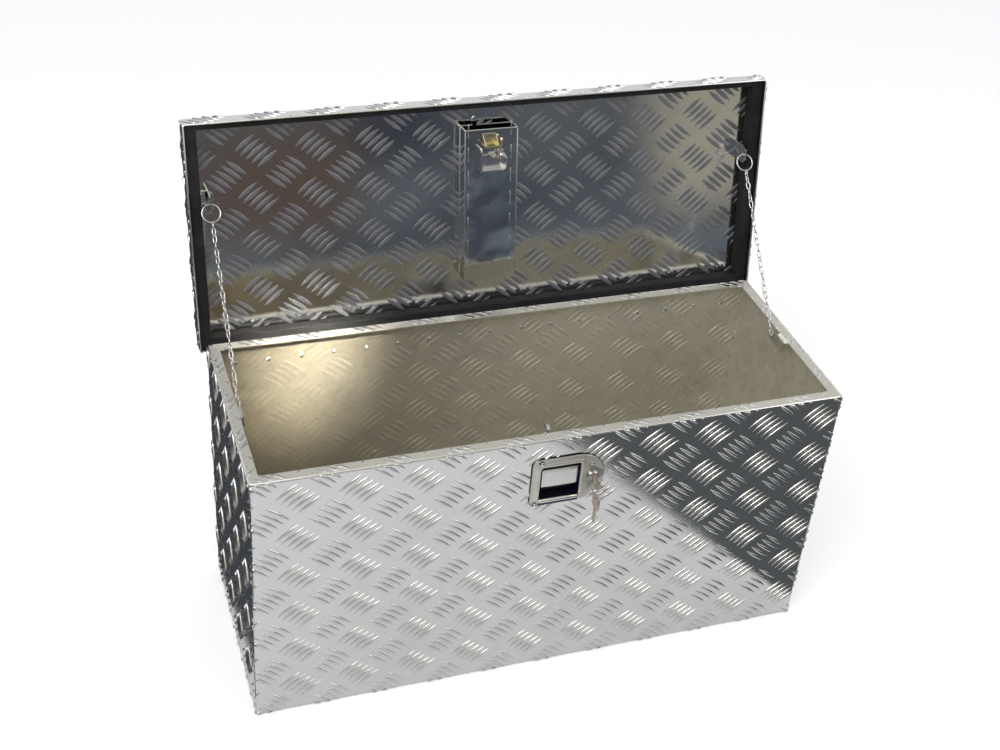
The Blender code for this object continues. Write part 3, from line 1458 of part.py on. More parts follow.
def build():
    """Builds the whole box with its lid open."""
    clear_scene()
    finishes = {
        "tread": finish("tread_aluminium", (0.72, 0.73, 0.74), 0.28, 1.0),
        "plain": finish("plain_aluminium", (0.66, 0.67, 0.68), 0.3, 1.0),
        "polished": finish("polished_steel", (0.62, 0.61, 0.58), 0.16, 1.0),
        "chrome": finish("plated_wire", (0.7, 0.69, 0.66), 0.12, 1.0),
        "zinc": finish("zinc_plate", (0.6, 0.62, 0.66), 0.35, 1.0),
        "brass": finish("yellow_zinc", (0.72, 0.62, 0.36), 0.35, 1.0),
        "steel": finish("bare_steel", (0.5, 0.49, 0.46), 0.3, 1.0),
        "foam": finish("black_foam", (0.012, 0.012, 0.014), 0.85, 0.0),
    }
    lid = holder_at("pivot_lid", (0.0, PIN_Y, PIN_Z), -LID_OPEN_ANGLE)
    build_body(finishes)
    build_hinge(finishes, lid)
    build_lid(finishes, lid)
    build_channel(finishes, lid)
    build_striker(finishes, lid)
    for label, side in (("left", -1), ("right", 1)):
        build_lugs(finishes, lid, label, side)
        build_chain(finishes, label, side)
    build_pan(finishes)
    build_paddle(finishes)
    build_hook(finishes)
    build_lock(finishes)


build()
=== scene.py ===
"""Looks of a tread-plate aluminium tool box with its lid held open by two stay chains."""

import logging
import math
from dataclasses import dataclass, field, replace
from enum import Enum

import bmesh
import bpy
from mathutils import Matrix, Vector


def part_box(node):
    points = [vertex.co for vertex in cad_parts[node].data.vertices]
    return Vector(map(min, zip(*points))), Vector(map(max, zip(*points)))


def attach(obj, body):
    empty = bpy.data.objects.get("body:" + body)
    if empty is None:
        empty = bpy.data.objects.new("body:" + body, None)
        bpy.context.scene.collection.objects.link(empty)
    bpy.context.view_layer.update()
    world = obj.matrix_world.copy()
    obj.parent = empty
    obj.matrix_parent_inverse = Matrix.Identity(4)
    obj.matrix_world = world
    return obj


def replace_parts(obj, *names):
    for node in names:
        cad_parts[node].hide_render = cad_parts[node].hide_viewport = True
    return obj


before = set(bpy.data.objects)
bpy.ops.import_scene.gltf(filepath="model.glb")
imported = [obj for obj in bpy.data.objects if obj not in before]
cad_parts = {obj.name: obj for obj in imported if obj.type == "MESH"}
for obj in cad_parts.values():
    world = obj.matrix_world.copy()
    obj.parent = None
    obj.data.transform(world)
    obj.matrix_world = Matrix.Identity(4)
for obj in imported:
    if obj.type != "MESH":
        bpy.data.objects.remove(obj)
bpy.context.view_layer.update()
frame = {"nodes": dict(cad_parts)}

log = logging.getLogger("tool_box")

Socket = bpy.types.NodeSocket
BMesh = bmesh.types.BMesh
Verts = list[bmesh.types.BMVert]
Pair = tuple[float, float]
Colour = tuple[float, float, float]
Point = tuple[float, float, float]
Area = tuple[float, float, float, float]

# The sheet-metal sizes that the dressed pieces share with the solids, in metres.
BODY_WIDTH = 0.765
BODY_DEPTH = 0.285
BODY_HEIGHT = 0.384
SHEET = 0.002
RIM_WIDTH = 0.014
LID_OVERHANG = 0.0084
LID_TOP = 0.4038
LID_SKIRT = 0.0257
LID_PIN = Vector((0.0, 0.1457, 0.3736))
LID_OPEN_ANGLE = math.radians(100.0)
CHAIN_ACROSS = 0.3645
MERGED = 1e-7
WHITE = (1.0, 1.0, 1.0, 1.0)

X = Vector((1.0, 0.0, 0.0))
Y = Vector((0.0, 1.0, 0.0))
Z = Vector((0.0, 0.0, 1.0))
QUARTER = {axis: Matrix.Rotation(math.pi / 2, 4, axis) for axis in "XYZ"}
TO_LID_PIN = Matrix.Translation(LID_PIN)
LID_OPENED = TO_LID_PIN @ Matrix.Rotation(-LID_OPEN_ANGLE, 4, "X") @ TO_LID_PIN.inverted()


class Lean(Enum):
    """The two ways that a cluster of tread bars leans."""

    RISING = 1
    FALLING = -1


class Grain(Enum):
    """The way a rolled sheet's fine streaks run, as a stretch of the noise along X, Y and Z."""

    ALONG_X = (1.0, 14.0, 14.0)
    ALONG_Z = (14.0, 14.0, 1.0)
    NONE = (1.0, 1.0, 1.0)


class Graph:
    """A node tree with short calls for adding and joining its nodes."""

    def __init__(self, tree: bpy.types.NodeTree) -> None:
        """Keeps the tree and clears what Blender put in it."""
        self.tree = tree
        tree.nodes.clear()

    def give(self, value: object, socket: Socket) -> None:
        """Joins an output to an input, or sets the input to a plain value.

        Args:
            value: The output or the value.
            socket: The input.
        """
        if isinstance(value, Socket):
            self.tree.links.new(value, socket)
        else:
            socket.default_value = value

    def node(self, kind: str, **values: object) -> bpy.types.Node:
        """Adds one node.

        Args:
            kind: Blender's name of the node type, without the word ShaderNode that most start with.
            values: Settings of the node, or values of its inputs with spaces written as underscores.

        Returns:
            The new node.
        """
        made = self.tree.nodes.new(kind if kind.startswith("Node") else f"ShaderNode{kind}")
        for key, value in values.items():
            if hasattr(made, key):
                setattr(made, key, value)
            else:
                self.give(value, made.inputs[key.replace("_", " ")])
        return made

    def maths(self, operation: str, first: object, second: object = 0.0) -> Socket:
        """Adds a Math node.

        Args:
            operation: Its operation.
            first: A number or an output for its first input.
            second: A number or an output for its second input.

        Returns:
            Its output.
        """
        made = self.node("Math", operation=operation)
        self.give(first, made.inputs[0])
        self.give(second, made.inputs[1])
        return made.outputs[0]

    def remap(self, value: Socket, low: float, high: float, to: Pair = (0.0, 1.0)) -> Socket:
        """Adds a Map Range node.

        Args:
            value: The output that it changes.
            low: The value that becomes the new range's low end.
            high: The value that becomes its high end.
            to: The new range.

        Returns:
            Its output, held to the new range.
        """
        made = self.node("MapRange", Value=value)
        for place, number in enumerate((low, high, *to), 1):
            made.inputs[place].default_value = number
        return made.outputs[0]

    def mix(self, factor: object, first: object, second: object) -> Socket:
        """Adds a colour Mix node.

        Args:
            factor: A number or an output that chooses between the colours.
            first: A colour or an output, shown where the factor is 0.
            second: A colour or an output, shown where the factor is 1.

        Returns:
            The mixed colour's output.
        """
        made = self.node("Mix", data_type="RGBA")
        self.give(factor, made.inputs[0])
        for place, colour in ((6, first), (7, second)):
            self.give(colour if isinstance(colour, Socket) else (*colour, 1.0), made.inputs[place])
        return made.outputs[2]

    def effect(self, tree: bpy.types.NodeTree, place: Socket, **values: float) -> Socket:
        """Adds a shared group over a place and returns its output."""
        return self.node("Group", node_tree=tree, Place=place, **values).outputs[0]

    def noise(self, place: Socket, scale: object, **values: float) -> Socket:
        """Adds noise over a place and returns its value."""
        return self.node("TexNoise", Vector=place, Scale=scale, **values).outputs[0]

    def end(self, result: Socket, kind: str = "OutputMaterial") -> None:
        """Adds the tree's output node and joins the result to it."""
        self.give(result, self.node(kind).inputs[0])


def surface(name: str) -> tuple[bpy.types.Material, Graph]:
    """Makes an empty material.

    Args:
        name: Its name.

    Returns:
        The material and its node tree.
    """
    made = bpy.data.materials.new(name)
    made.use_nodes = True
    return made, Graph(made.node_tree)


def group(name: str, gives: str, **takes: float) -> tuple[bpy.types.NodeTree, Graph, list[Socket]]:
    """Starts a shader node group that takes a place and named numbers and gives one number.

    Args:
        name: The group's name.
        gives: Its output.
        takes: Its number inputs and their defaults.

    Returns:
        The group, its node tree and its inputs in order, the place first.
    """
    made = bpy.data.node_groups.new(name, "ShaderNodeTree")
    made.interface.new_socket("Place", in_out="INPUT", socket_type="NodeSocketVector")
    for key, value in takes.items():
        made.interface.new_socket(key, in_out="INPUT", socket_type="NodeSocketFloat").default_value = value
    made.interface.new_socket(gives, in_out="OUTPUT", socket_type="NodeSocketFloat")
    graph = Graph(made)
    return made, graph, list(graph.node("NodeGroupInput").outputs)


class Effects:
    """The shared effects, each a node group that is built once."""

    def __init__(self) -> None:
        """Builds every group."""
        self.streaks = self.build_streaks()
        self.smudges = self.build_smudges()
        self.waves = self.build_waves()
        self.speckle = self.build_speckle()

    def build_streaks(self) -> bpy.types.NodeTree:
        """Fine lines of rolling or brushing: long noise along one axis.

        Returns:
            The group.
        """
        made, graph, takes = group("rolling_streaks", "Streaks", Fineness=160.0)
        noise = graph.noise(takes[0], takes[1], Detail=5.0, Roughness=0.6)
        graph.end(graph.remap(noise, 0.3, 0.7), "NodeGroupOutput")
        return made

    def build_smudges(self) -> bpy.types.NodeTree:
        """Dull patches left by hands and storage: broad patches of fine marks.

        Returns:
            The group.
        """
        made, graph, takes = group("handling_smudges", "Smudges", Size=9.0)
        broad = graph.noise(takes[0], takes[1], Detail=3.0, Roughness=0.55, Distortion=0.6)
        finer = graph.maths("MULTIPLY", takes[1], 7.0)
        fine = graph.noise(takes[0], finer, Detail=6.0, Roughness=0.7)
        graph.end(graph.remap(graph.maths("MULTIPLY", broad, fine), 0.2, 0.36), "NodeGroupOutput")
        return made

    def build_waves(self) -> bpy.types.NodeTree:
        """The slow swell of thin rolled sheet, which bends what it mirrors.

        Returns:
            The group.
        """
        made, graph, takes = group("sheet_swell", "Height", Size=5.0, Depth=1.0)
        noise = graph.noise(takes[0], takes[1], Detail=1.5, Roughness=0.4)
        graph.end(graph.maths("MULTIPLY", noise, takes[2]), "NodeGroupOutput")
        return made

    def build_speckle(self) -> bpy.types.NodeTree:
        """Small pits and bright points of a plated, cast or rubbed surface.

        Returns:
            The group.
        """
        made, graph, takes = group("surface_speckle", "Speckle", Fineness=900.0)
        noise = graph.noise(takes[0], takes[1], Detail=3.0, Roughness=0.65)
        graph.end(graph.remap(noise, 0.35, 0.65), "NodeGroupOutput")
        return made


@dataclass(frozen=True)
class Metal:
    """A metal finish: its colours, how it shines, and the streaks, smudges and swell on it.

    The inside fields change it within the box's open space, where its colours are painted reflection and
    shade, and the satin fields above a level, for the box's satin rim and for a painted shadow on the
    paddle's roll.
    """

    name: str
    colour: Colour
    shade: Colour
    shine: Pair
    grain: Grain = Grain.NONE
    streak_fineness: float = 160.0
    streak_depth: float = 0.00001
    streak_share: float = 0.35
    smudge_size: float = 9.0
    smudge_strength: float = 0.5
    swell_size: float = 5.0
    swell_depth: float = 0.0
    speckle_fineness: float = 1200.0
    speckle_share: float = 0.2
    inside: Point | None = None
    # The inside colours are painted light, blended along X from the first at the low end to the far one at
    # the high end.
    inside_painted_light: Colour = (0.8, 0.8, 0.8)
    inside_far_painted_light: Colour = (0.8, 0.8, 0.8)
    painted_light_blend: Pair = (-0.30, 0.10)
    inside_shine: Pair = (0.3, 0.5)
    inside_wear: float = 0.66
    # Above the level the colour is the satin rim's own on the box, and painted shadow over the top of the
    # paddle's roll.
    satin_and_shade_above: float = 0.0
    satin_matt: float = 0.0
    satin_dulling: float = 0.2
    satin_and_painted_shade_colour: Colour = (0.80, 0.79, 0.74)
    metallic: float = 1.0

    def inside_mask(self, graph: Graph, parts: list[Socket]) -> Socket:
        """Marks the points within the box's open space.

        Args:
            graph: The material's node tree.
            parts: The point's X, Y and Z.

        Returns:
            The mask, 1 inside.
        """
        wide, deep, top = self.inside
        in_x = graph.maths("LESS_THAN", graph.maths("ABSOLUTE", parts[0]), wide)
        in_y = graph.maths("LESS_THAN", graph.maths("ABSOLUTE", parts[1]), deep)
        in_z = graph.maths("LESS_THAN", parts[2], top)
        return graph.maths("MULTIPLY", graph.maths("MULTIPLY", in_x, in_y), in_z)

    def material(self, effects: Effects) -> bpy.types.Material:
        """Builds the finish.

        Args:
            effects: The shared node groups.

        Returns:
            The material.
        """
        made, graph = surface(self.name)
        place = graph.node("TexCoord").outputs["Object"]
        along = graph.node("Mapping", Vector=place, Scale=self.grain.value).outputs[0]
        streaks = graph.effect(effects.streaks, along, Fineness=self.streak_fineness)
        smudges = graph.effect(effects.smudges, place, Size=self.smudge_size)
        speckle = graph.effect(effects.speckle, place, Fineness=self.speckle_fineness)
        swell = graph.effect(effects.waves, place, Size=self.swell_size, Depth=self.swell_depth)

        dulled = graph.maths("MULTIPLY", smudges, self.smudge_strength)
        blend = graph.maths("ADD", dulled, graph.maths("MULTIPLY", streaks, self.streak_share))
        colour = graph.mix(blend, self.colour, self.shade)
        spread = graph.maths("ADD", blend, graph.maths("MULTIPLY", speckle, self.speckle_share))
        roughness = graph.remap(spread, 0.0, 1.0, self.shine)
        metallic = 1.0
        if self.inside or self.satin_and_shade_above:
            parts = list(graph.node("SeparateXYZ", Vector=place).outputs)
        # Inside the mask the colour is painted light: painted reflection in the box, painted shade in the
        # latch pocket.
        if self.inside:
            mask = self.inside_mask(graph, parts)
            linings = []
            for painted_tone in (self.inside_painted_light, self.inside_far_painted_light):
                worn = tuple(self.inside_wear * c for c in painted_tone)
                linings.append(graph.mix(blend, painted_tone, worn))
            lining = graph.mix(graph.remap(parts[0], *self.painted_light_blend), *linings)
            colour = graph.mix(mask, colour, lining)
            metallic = graph.maths("SUBTRACT", metallic, graph.maths("MULTIPLY", mask, 1.0 - self.metallic))
            dull = graph.remap(spread, 0.0, 1.0, self.inside_shine)
            more = graph.maths("MULTIPLY", graph.maths("SUBTRACT", dull, roughness), mask)
            roughness = graph.maths("ADD", roughness, more)
        # Above the level: the box's satin rim, or on the paddle a near-black band of painted shadow.
        if self.satin_and_shade_above:
            mask = graph.maths("GREATER_THAN", parts[2], self.satin_and_shade_above)
            colour = graph.mix(mask, colour, self.satin_and_painted_shade_colour)
            roughness = graph.maths("ADD", roughness, graph.maths("MULTIPLY", mask, self.satin_dulling))
            if self.satin_matt:
                metallic = graph.maths("SUBTRACT", metallic, graph.maths("MULTIPLY", mask, self.satin_matt))
        fine = graph.maths("MULTIPLY", streaks, self.streak_depth)
        height = graph.maths("ADD", fine, swell)
        bump = graph.node("Bump", Strength=1.0, Distance=1.0, Height=height).outputs[0]
        shader = graph.node("BsdfPrincipled", Base_Color=colour, Roughness=roughness, Normal=bump)
        varies = self.inside or self.satin_matt
        graph.give(metallic if varies else self.metallic, shader.inputs["Metallic"])
        graph.end(shader.outputs[0])
        return made


@dataclass(frozen=True)
class Rubber:
    """Black cellular rubber: dark, dull and finely pitted."""

    name: str
    colour: Colour
    worn: Colour
    shine: Pair = (0.62, 0.86)
    sheen: float = 0.3
    smudge_size: float = 22.0
    pit_fineness: float = 1400.0
    pit_depth: float = 0.00012
    pit_strength: float = 0.7

    def material(self, effects: Effects) -> bpy.types.Material:
        """Builds the finish.

        Args:
            effects: The shared node groups.

        Returns:
            The material.
        """
        made, graph = surface(self.name)
        place = graph.node("TexCoord").outputs["Object"]
        pits = graph.node("TexVoronoi", Vector=place, Scale=self.pit_fineness).outputs["Distance"]
        smudges = graph.effect(effects.smudges, place, Size=self.smudge_size)
        height = graph.maths("MULTIPLY", pits, self.pit_depth)
        bump = graph.node("Bump", Strength=self.pit_strength, Distance=1.0, Height=height)
        shader = graph.node(
            "BsdfPrincipled",
            Base_Color=graph.mix(smudges, self.colour, self.worn),
            Roughness=graph.remap(smudges, 0.0, 1.0, self.shine),
            Specular_IOR_Level=self.sheen,
            Normal=bump.outputs[0],
        )
        graph.end(shader.outputs[0])
        return made


Look = Metal | Rubber

ROLLED = Metal(
    "mirror_rolled_lid_plate",
    (0.83, 0.83, 0.82),
    (0.74, 0.74, 0.73),
    (0.03, 0.11),
    Grain.ALONG_X,
    swell_size=4.0,
    swell_depth=0.0009,
)
# Inside the box the colour is a painted reflection of warm surroundings, darker towards the left end.
BOX_PLATE = replace(
    ROLLED,
    name="mirror_rolled_tread_plate",
    shine=(0.05, 0.17),
    inside=(BODY_WIDTH / 2 - SHEET / 2, BODY_DEPTH / 2 - SHEET / 2, BODY_HEIGHT - SHEET / 2),
    inside_painted_light=(0.46, 0.42, 0.33),
    inside_far_painted_light=(0.84, 0.81, 0.71),
    inside_shine=(0.24, 0.44),
    metallic=0.66,
    satin_and_shade_above=BODY_HEIGHT - 0.0004,
    satin_matt=0.5,
    satin_and_painted_shade_colour=(0.56, 0.545, 0.48),
)
# The bars inside the box take the same painted reflection of warm surroundings.
LINING_BARS = replace(
    BOX_PLATE,
    name="bars_inside_the_box_painted_reflection",
    inside_painted_light=(0.51, 0.465, 0.365),
    inside_far_painted_light=(0.80, 0.77, 0.67),
    inside_shine=(0.26, 0.46),
)
PRESSED_BARS = Metal(
    "matt_backs_of_tread_bars",
    (0.40, 0.41, 0.46),
    (0.27, 0.28, 0.32),
    (0.44, 0.60),
    Grain.ALONG_X,
    smudge_size=26.0,
)
CHANNEL = Metal(
    "mirror_folded_channel",
    (0.80, 0.81, 0.83),
    (0.68, 0.69, 0.72),
    (0.03, 0.10),
    Grain.ALONG_Z,
    smudge_size=14.0,
    swell_size=22.0,
    swell_depth=0.0013,
)
BARS = Metal(
    "burnished_tread_bars",
    (0.80, 0.80, 0.80),
    (0.60, 0.60, 0.61),
    (0.08, 0.22),
    Grain.ALONG_X,
    smudge_size=30.0,
)
PLAIN = Metal(
    "plain_aluminium_sheet",
    (0.80, 0.80, 0.79),
    (0.66, 0.66, 0.65),
    (0.16, 0.34),
    Grain.ALONG_Z,
    smudge_size=18.0,
    swell_size=14.0,
    swell_depth=0.0002,
)
POLISHED = Metal(
    "polished_latch_steel",
    (0.80, 0.80, 0.79),
    (0.68, 0.68, 0.68),
    (0.05, 0.18),
    smudge_size=60.0,
    smudge_strength=0.4,
)
# The near-black colour above the level is painted shadow, darkening the top of the roll like a gap above it.
SATIN = replace(
    POLISHED,
    name="satin_paddle_steel_painted_shade",
    colour=(0.78, 0.775, 0.75),
    shade=(0.70, 0.695, 0.67),
    shine=(0.16, 0.26),
    satin_and_shade_above=0.3370,
    satin_and_painted_shade_colour=(0.02, 0.02, 0.022),
)
# The pocket's near-black colour is painted shade, tinged blue as a painted reflection.
PLATE = Metal(
    "satin_latch_plate_painted_pocket_shade",
    (0.76, 0.75, 0.69),
    (0.62, 0.61, 0.55),
    (0.30, 0.42),
    smudge_size=40.0,
    inside=(0.0263, 0.1462, 0.3445),
    inside_painted_light=(0.030, 0.032, 0.036),
    inside_far_painted_light=(0.05, 0.055, 0.11),
    inside_shine=(0.25, 0.40),
    metallic=0.8,
)
BRIGHT = Metal("bright_bent_strip", (0.86, 0.86, 0.85), (0.74, 0.74, 0.73), (0.12, 0.26), smudge_size=60.0)
DARK_CHROME = Metal(
    "dark_chromed_dome", (0.48, 0.48, 0.49), (0.34, 0.34, 0.35), (0.05, 0.12), smudge_size=120.0
)
WELD = Metal(
    "bright_weld_metal",
    (0.80, 0.79, 0.76),
    (0.56, 0.55, 0.52),
    (0.24, 0.42),
    smudge_size=240.0,
    speckle_fineness=2400.0,
)
KEY_STEEL = Metal(
    "handled_key_steel", (0.62, 0.56, 0.48), (0.44, 0.38, 0.31), (0.20, 0.38), smudge_size=150.0
)
PLATED = Metal("bright_plated_wire", (0.78, 0.78, 0.78), (0.52, 0.52, 0.52), (0.10, 0.28), smudge_size=120.0)
ZINC = Metal("dull_zinc_plate", (0.78, 0.79, 0.82), (0.58, 0.59, 0.62), (0.16, 0.34), smudge_size=70.0)
YELLOW_ZINC = Metal(
    "yellow_zinc_plate", (0.80, 0.72, 0.48), (0.62, 0.58, 0.42), (0.18, 0.36), smudge_size=90.0
)
STEEL = Metal("bare_steel", (0.58, 0.56, 0.53), (0.40, 0.37, 0.34), (0.22, 0.42), smudge_size=110.0)
FOAM = Rubber("black_cellular_rubber", (0.007, 0.007, 0.008), (0.018, 0.018, 0.020))


@dataclass(frozen=True)
class Finishes:
    """Every finish of the box, made when it is first asked for."""

    effects: Effects = field(default_factory=Effects)
    made: dict[str, bpy.types.Material] = field(default_factory=dict)

    def __getitem__(self, look: Look) -> bpy.types.Material:
        """The material of a look.

        Args:
            look: The look.

        Returns:
            The material, the same each time.
        """
        if look.name not in self.made:
            self.made[look.name] = look.material(self.effects)
        return self.made[look.name]


def laid(right: Vector, up: Vector, corner: Vector) -> Matrix:
    """The matrix that lays X, Y and Z along right, up and outwards from a corner."""
    return Matrix.Translation(corner) @ Matrix((right, up, right.cross(up))).transposed().to_4x4()


def around(ring: list) -> list[tuple]:
    """The neighbours round a closed ring, as pairs. The first is the last point with the first."""
    return list(zip(ring[-1:] + ring[:-1], ring))


def only(geom: list, kind: type) -> list:
    """The elements of one kind among what a bmesh operator gives back."""
    return [g for g in geom if isinstance(g, kind)]


def held(verts: Verts, kind: str) -> list:
    """The link_edges or link_faces of some vertices, each once, in an order that is always the same."""
    return list(dict.fromkeys(g for v in verts for g in getattr(v, kind)))


def spin(mesh: BMesh, verts: Verts, edges: list, steps: int) -> None:
    """Turns a line of edges once about the Z axis."""
    geom = verts + edges
    bmesh.ops.spin(mesh, geom=geom, cent=(0, 0, 0), axis=Z, angle=2 * math.pi, steps=steps, use_merge=True)


def sphere(mesh: BMesh, sides: int, rings: int, radius: float) -> Verts:
    """Adds a sphere about the origin and returns its vertices."""
    return bmesh.ops.create_uvsphere(mesh, u_segments=sides, v_segments=rings, radius=radius)["verts"]


def box_loop(low: Pair, high: Pair, radii: tuple[float, ...], level: float, steps: int = 8) -> list[Vector]:
    """The points round a rounded rectangle in the XY plane.

    Args:
        low: The lower left corner.
        high: The upper right corner.
        radii: The corner radii from the lower left, counter-clockwise.
        level: Its height along Z.
        steps: Steps round each corner.

    Returns:
        The points, counter-clockwise.
    """
    points = []
    for index, radius in enumerate(radii):
        x = low[0] + radius if index in (0, 3) else high[0] - radius
        y = low[1] + radius if index in (0, 1) else high[1] - radius
        for step in range(steps + 1):
            angle = math.pi / 2 * ((index + 2) % 4 + step / steps)
            points.append(Vector((x + radius * math.cos(angle), y + radius * math.sin(angle), level)))
    return points


def skin(mesh: BMesh, loops: list[list[Vector]], closed: bool) -> None:
    """Grows a surface from loop to loop.

    Args:
        mesh: The bmesh that takes it.
        loops: The loops in order, each with the same number of points.
        closed: Whether the last joins the first. If not, both are filled with a face.
    """
    first = [mesh.verts.new(point) for point in loops[0]]
    for pair in around(first):
        mesh.edges.new(pair)
    ring = first
    for points in loops[1:] + (loops[:1] if closed else []):
        edges = [mesh.edges.get(pair) for pair in around(ring)]
        new = set(only(bmesh.ops.extrude_edge_only(mesh, edges=edges)["geom"], bmesh.types.BMVert))
        ring = [next(e.other_vert(v) for e in v.link_edges if e.other_vert(v) in new) for v in ring]
        for vert, point in zip(ring, points):
            vert.co = point
    if closed:
        bmesh.ops.remove_doubles(mesh, verts=first + ring, dist=MERGED)
        return
    for end in (first, ring):
        bmesh.ops.contextual_create(mesh, geom=[mesh.edges.get(pair) for pair in around(end)])


def rounded(mesh: BMesh, edges: list, width: float) -> None:
    """Rounds edges off with a bevel of a width."""
    values = {"segments": 2, "profile": 0.5, "affect": "EDGES", "clamp_overlap": True, "material": -1}
    bmesh.ops.bevel(mesh, geom=edges, offset=width, **values)


def turned(mesh: BMesh, profile: list[Pair], steps: int) -> Verts:
    """Turns a profile of (radius, height) about the Z axis.

    Args:
        mesh: The bmesh that takes it.
        profile: The points, from the axis at one end to the axis at the other.
        steps: Steps of the full turn.

    Returns:
        Its vertices.
    """
    before = set(mesh.verts)
    verts = [mesh.verts.new((radius, 0.0, height)) for radius, height in profile]
    spin(mesh, verts, [mesh.edges.new(pair) for pair in zip(verts, verts[1:])], steps)
    made = [v for v in mesh.verts if v not in before]
    bmesh.ops.remove_doubles(mesh, verts=made, dist=MERGED)
    return [v for v in mesh.verts if v not in before]


def capsule(mesh: BMesh, radius: float, length: float, sides: int = 16) -> Verts:
    """Adds a round bar with domed ends along X.

    Args:
        mesh: The bmesh that takes it.
        radius: Its radius.
        length: Its length over both ends.
        sides: Corners round it.

    Returns:
        Its vertices.
    """
    verts = sphere(mesh, sides=sides, rings=9, radius=radius)
    bmesh.ops.rotate(mesh, verts=verts, matrix=QUARTER["Y"])
    for vert in verts:
        vert.co.x += math.copysign(length / 2 - radius, vert.co.x)
    return verts


@dataclass
class Part:
    """A part of the box that is dressed in the box's finishes."""

    finishes: Finishes

    def piece(self, name: str, mesh: BMesh, look: Look, body: str, slot: str) -> bpy.types.Object:
        """Turns a finished bmesh into a piece that rides on a body.

        Args:
            name: The piece's name.
            mesh: Its shape, in place. It is freed here.
            look: Its finish.
            body: The body that carries it.
            slot: A material slot's name. It is not used.

        Returns:
            The piece.
        """
        bmesh.ops.recalc_face_normals(mesh, faces=mesh.faces)
        data = bpy.data.meshes.new(name)
        mesh.to_mesh(data)
        mesh.free()
        data.shade_smooth()
        data.materials.append(self.finishes[look])
        made = bpy.data.objects.new(name, data)
        bpy.context.scene.collection.objects.link(made)
        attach(made, body)
        log.info("%s: %d faces", name, len(data.polygons))
        return made


@dataclass
class CarriedSolids(Part):
    """The solids of the frame that keep their shape: most get rounded edges, and all take a finish."""

    sharp: float = math.radians(40.0)
    flat: float = math.radians(1.0)
    kept: tuple[tuple[Look, str], ...] = (
        (BOX_PLATE, "body_shell"),
        (ROLLED, "lid_shell"),
        (PLAIN, "hinge_leaf_body hinge_leaf_lid"),
        (POLISHED, "latch_pan latch_paddle latch_rivet_1 latch_rivet_2 latch_rivet_3 latch_rivet_4"),
        (PLATED, "stay_chain_left_upper stay_chain_left_lower"),
        (PLATED, "stay_chain_right_upper stay_chain_right_lower lock_cylinder"),
        (FOAM, "lid_gasket latch_gasket"),
        (STEEL, "hinge_pin"),
    )
    rounded: tuple[tuple[str, str, str, Look, float], ...] = (
        ("body_lug_left", "box", "plain", PLAIN, 0.0004),
        ("body_lug_right", "box", "plain", PLAIN, 0.0004),
        ("lid_lug_left", "lid", "plain", BRIGHT, 0.0004),
        ("lid_lug_right", "lid", "plain", BRIGHT, 0.0004),
        ("lid_channel", "lid", "plain", CHANNEL, 0.0004),
        ("striker_bracket", "lid", "zinc", ZINC, 0.0005),
        ("striker_keeper", "lid", "brass", YELLOW_ZINC, 0.0005),
        ("striker_stud", "lid", "steel", YELLOW_ZINC, 0.0002),
        ("striker_nut", "lid", "steel", STEEL, 0.0003),
        ("latch_hook", "hook", "zinc", ZINC, 0.0003),
        ("latch_housing", "box", "zinc", ZINC, 0.0003),
        ("lock_nut", "box", "zinc", ZINC, 0.0003),
        ("lock_cam", "lock_core", "zinc", ZINC, 0.0003),
        ("lock_plug", "lock_core", "chrome", PLATED, 0.0002),
        ("key", "lock_core", "steel", KEY_STEEL, 0.0005),
        ("spare_key", "spare_key", "steel", KEY_STEEL, 0.0005),
        ("key_ring", "key_ring", "steel", PLATED, 0.0001),
        ("hook_pin", "box", "steel", STEEL, 0.0002),
        ("paddle_pin", "box", "steel", STEEL, 0.0002),
        ("hook_spring", "box", "steel", STEEL, 0.0001),
    )

    def build(self) -> None:
        """Rounds the small solids and gives every solid its finish."""
        for look, nodes in self.kept:
            for node in nodes.split():
                self.paint(node, look)
        for node, body, slot, look, edge in self.rounded:
            self.paint(node, look)
            made = self.piece(f"{node}_rounded", self.softened(node, edge), look, body, slot)
            made.modifiers.new("flat_faces_stay_flat", "WEIGHTED_NORMAL").keep_sharp = True
            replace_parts(made, node)

    def paint(self, node: str, look: Look) -> None:
        """Gives a solid of the frame its finish.

        Args:
            node: The solid's name.
            look: The finish.
        """
        shown = frame["nodes"][node]
        if not shown.material_slots:
            shown.data.materials.append(self.finishes[look])
        for held in shown.material_slots:
            held.material = self.finishes[look]

    def softened(self, node: str, edge: float) -> BMesh:
        """Copies a solid's shape with its sharp edges rounded and its round faces marked smooth.

        Args:
            node: The solid's name.
            edge: The width of the rounding.

        Returns:
            The shape.
        """
        mesh = bmesh.new()
        mesh.from_mesh(frame["nodes"][node].data)
        bmesh.ops.remove_doubles(mesh, verts=mesh.verts, dist=1e-6)
        bmesh.ops.dissolve_limit(mesh, angle_limit=self.flat, verts=mesh.verts, edges=mesh.edges)
        rounded(mesh, self.sharp_edges(mesh), edge)
        for sharp in self.sharp_edges(mesh):
            sharp.smooth = False
        return mesh

    def sharp_edges(self, mesh: BMesh) -> list[bmesh.types.BMEdge]:
        """The edges where two faces meet sharply."""
        return [e for e in mesh.edges if len(e.link_faces) == 2 and e.calc_face_angle() > self.sharp]


@dataclass(frozen=True)
class Panel:
    """One flat face of sheet that carries tread bars, seen from the side that the bars stand on."""

    name: str
    body: str
    corner: Vector
    right: Vector
    up: Vector
    width: float
    height: float
    rise: float
    phase: Pair = (0.0951, 0.3227)
    look: Look = BARS
    spare: Area | None = None

    def sideways(self) -> "Panel":
        """The same face with the pattern turned a quarter turn, as on the ends of the box."""
        corner = self.corner + self.right * self.width
        width, height = self.height, self.width
        return replace(self, corner=corner, right=self.up, up=-self.right, width=width, height=height)

    def place(self) -> Matrix:
        """The matrix that lays a pattern's X, Y and Z along the face's right, up and outwards."""
        return laid(self.right, self.up, self.corner)


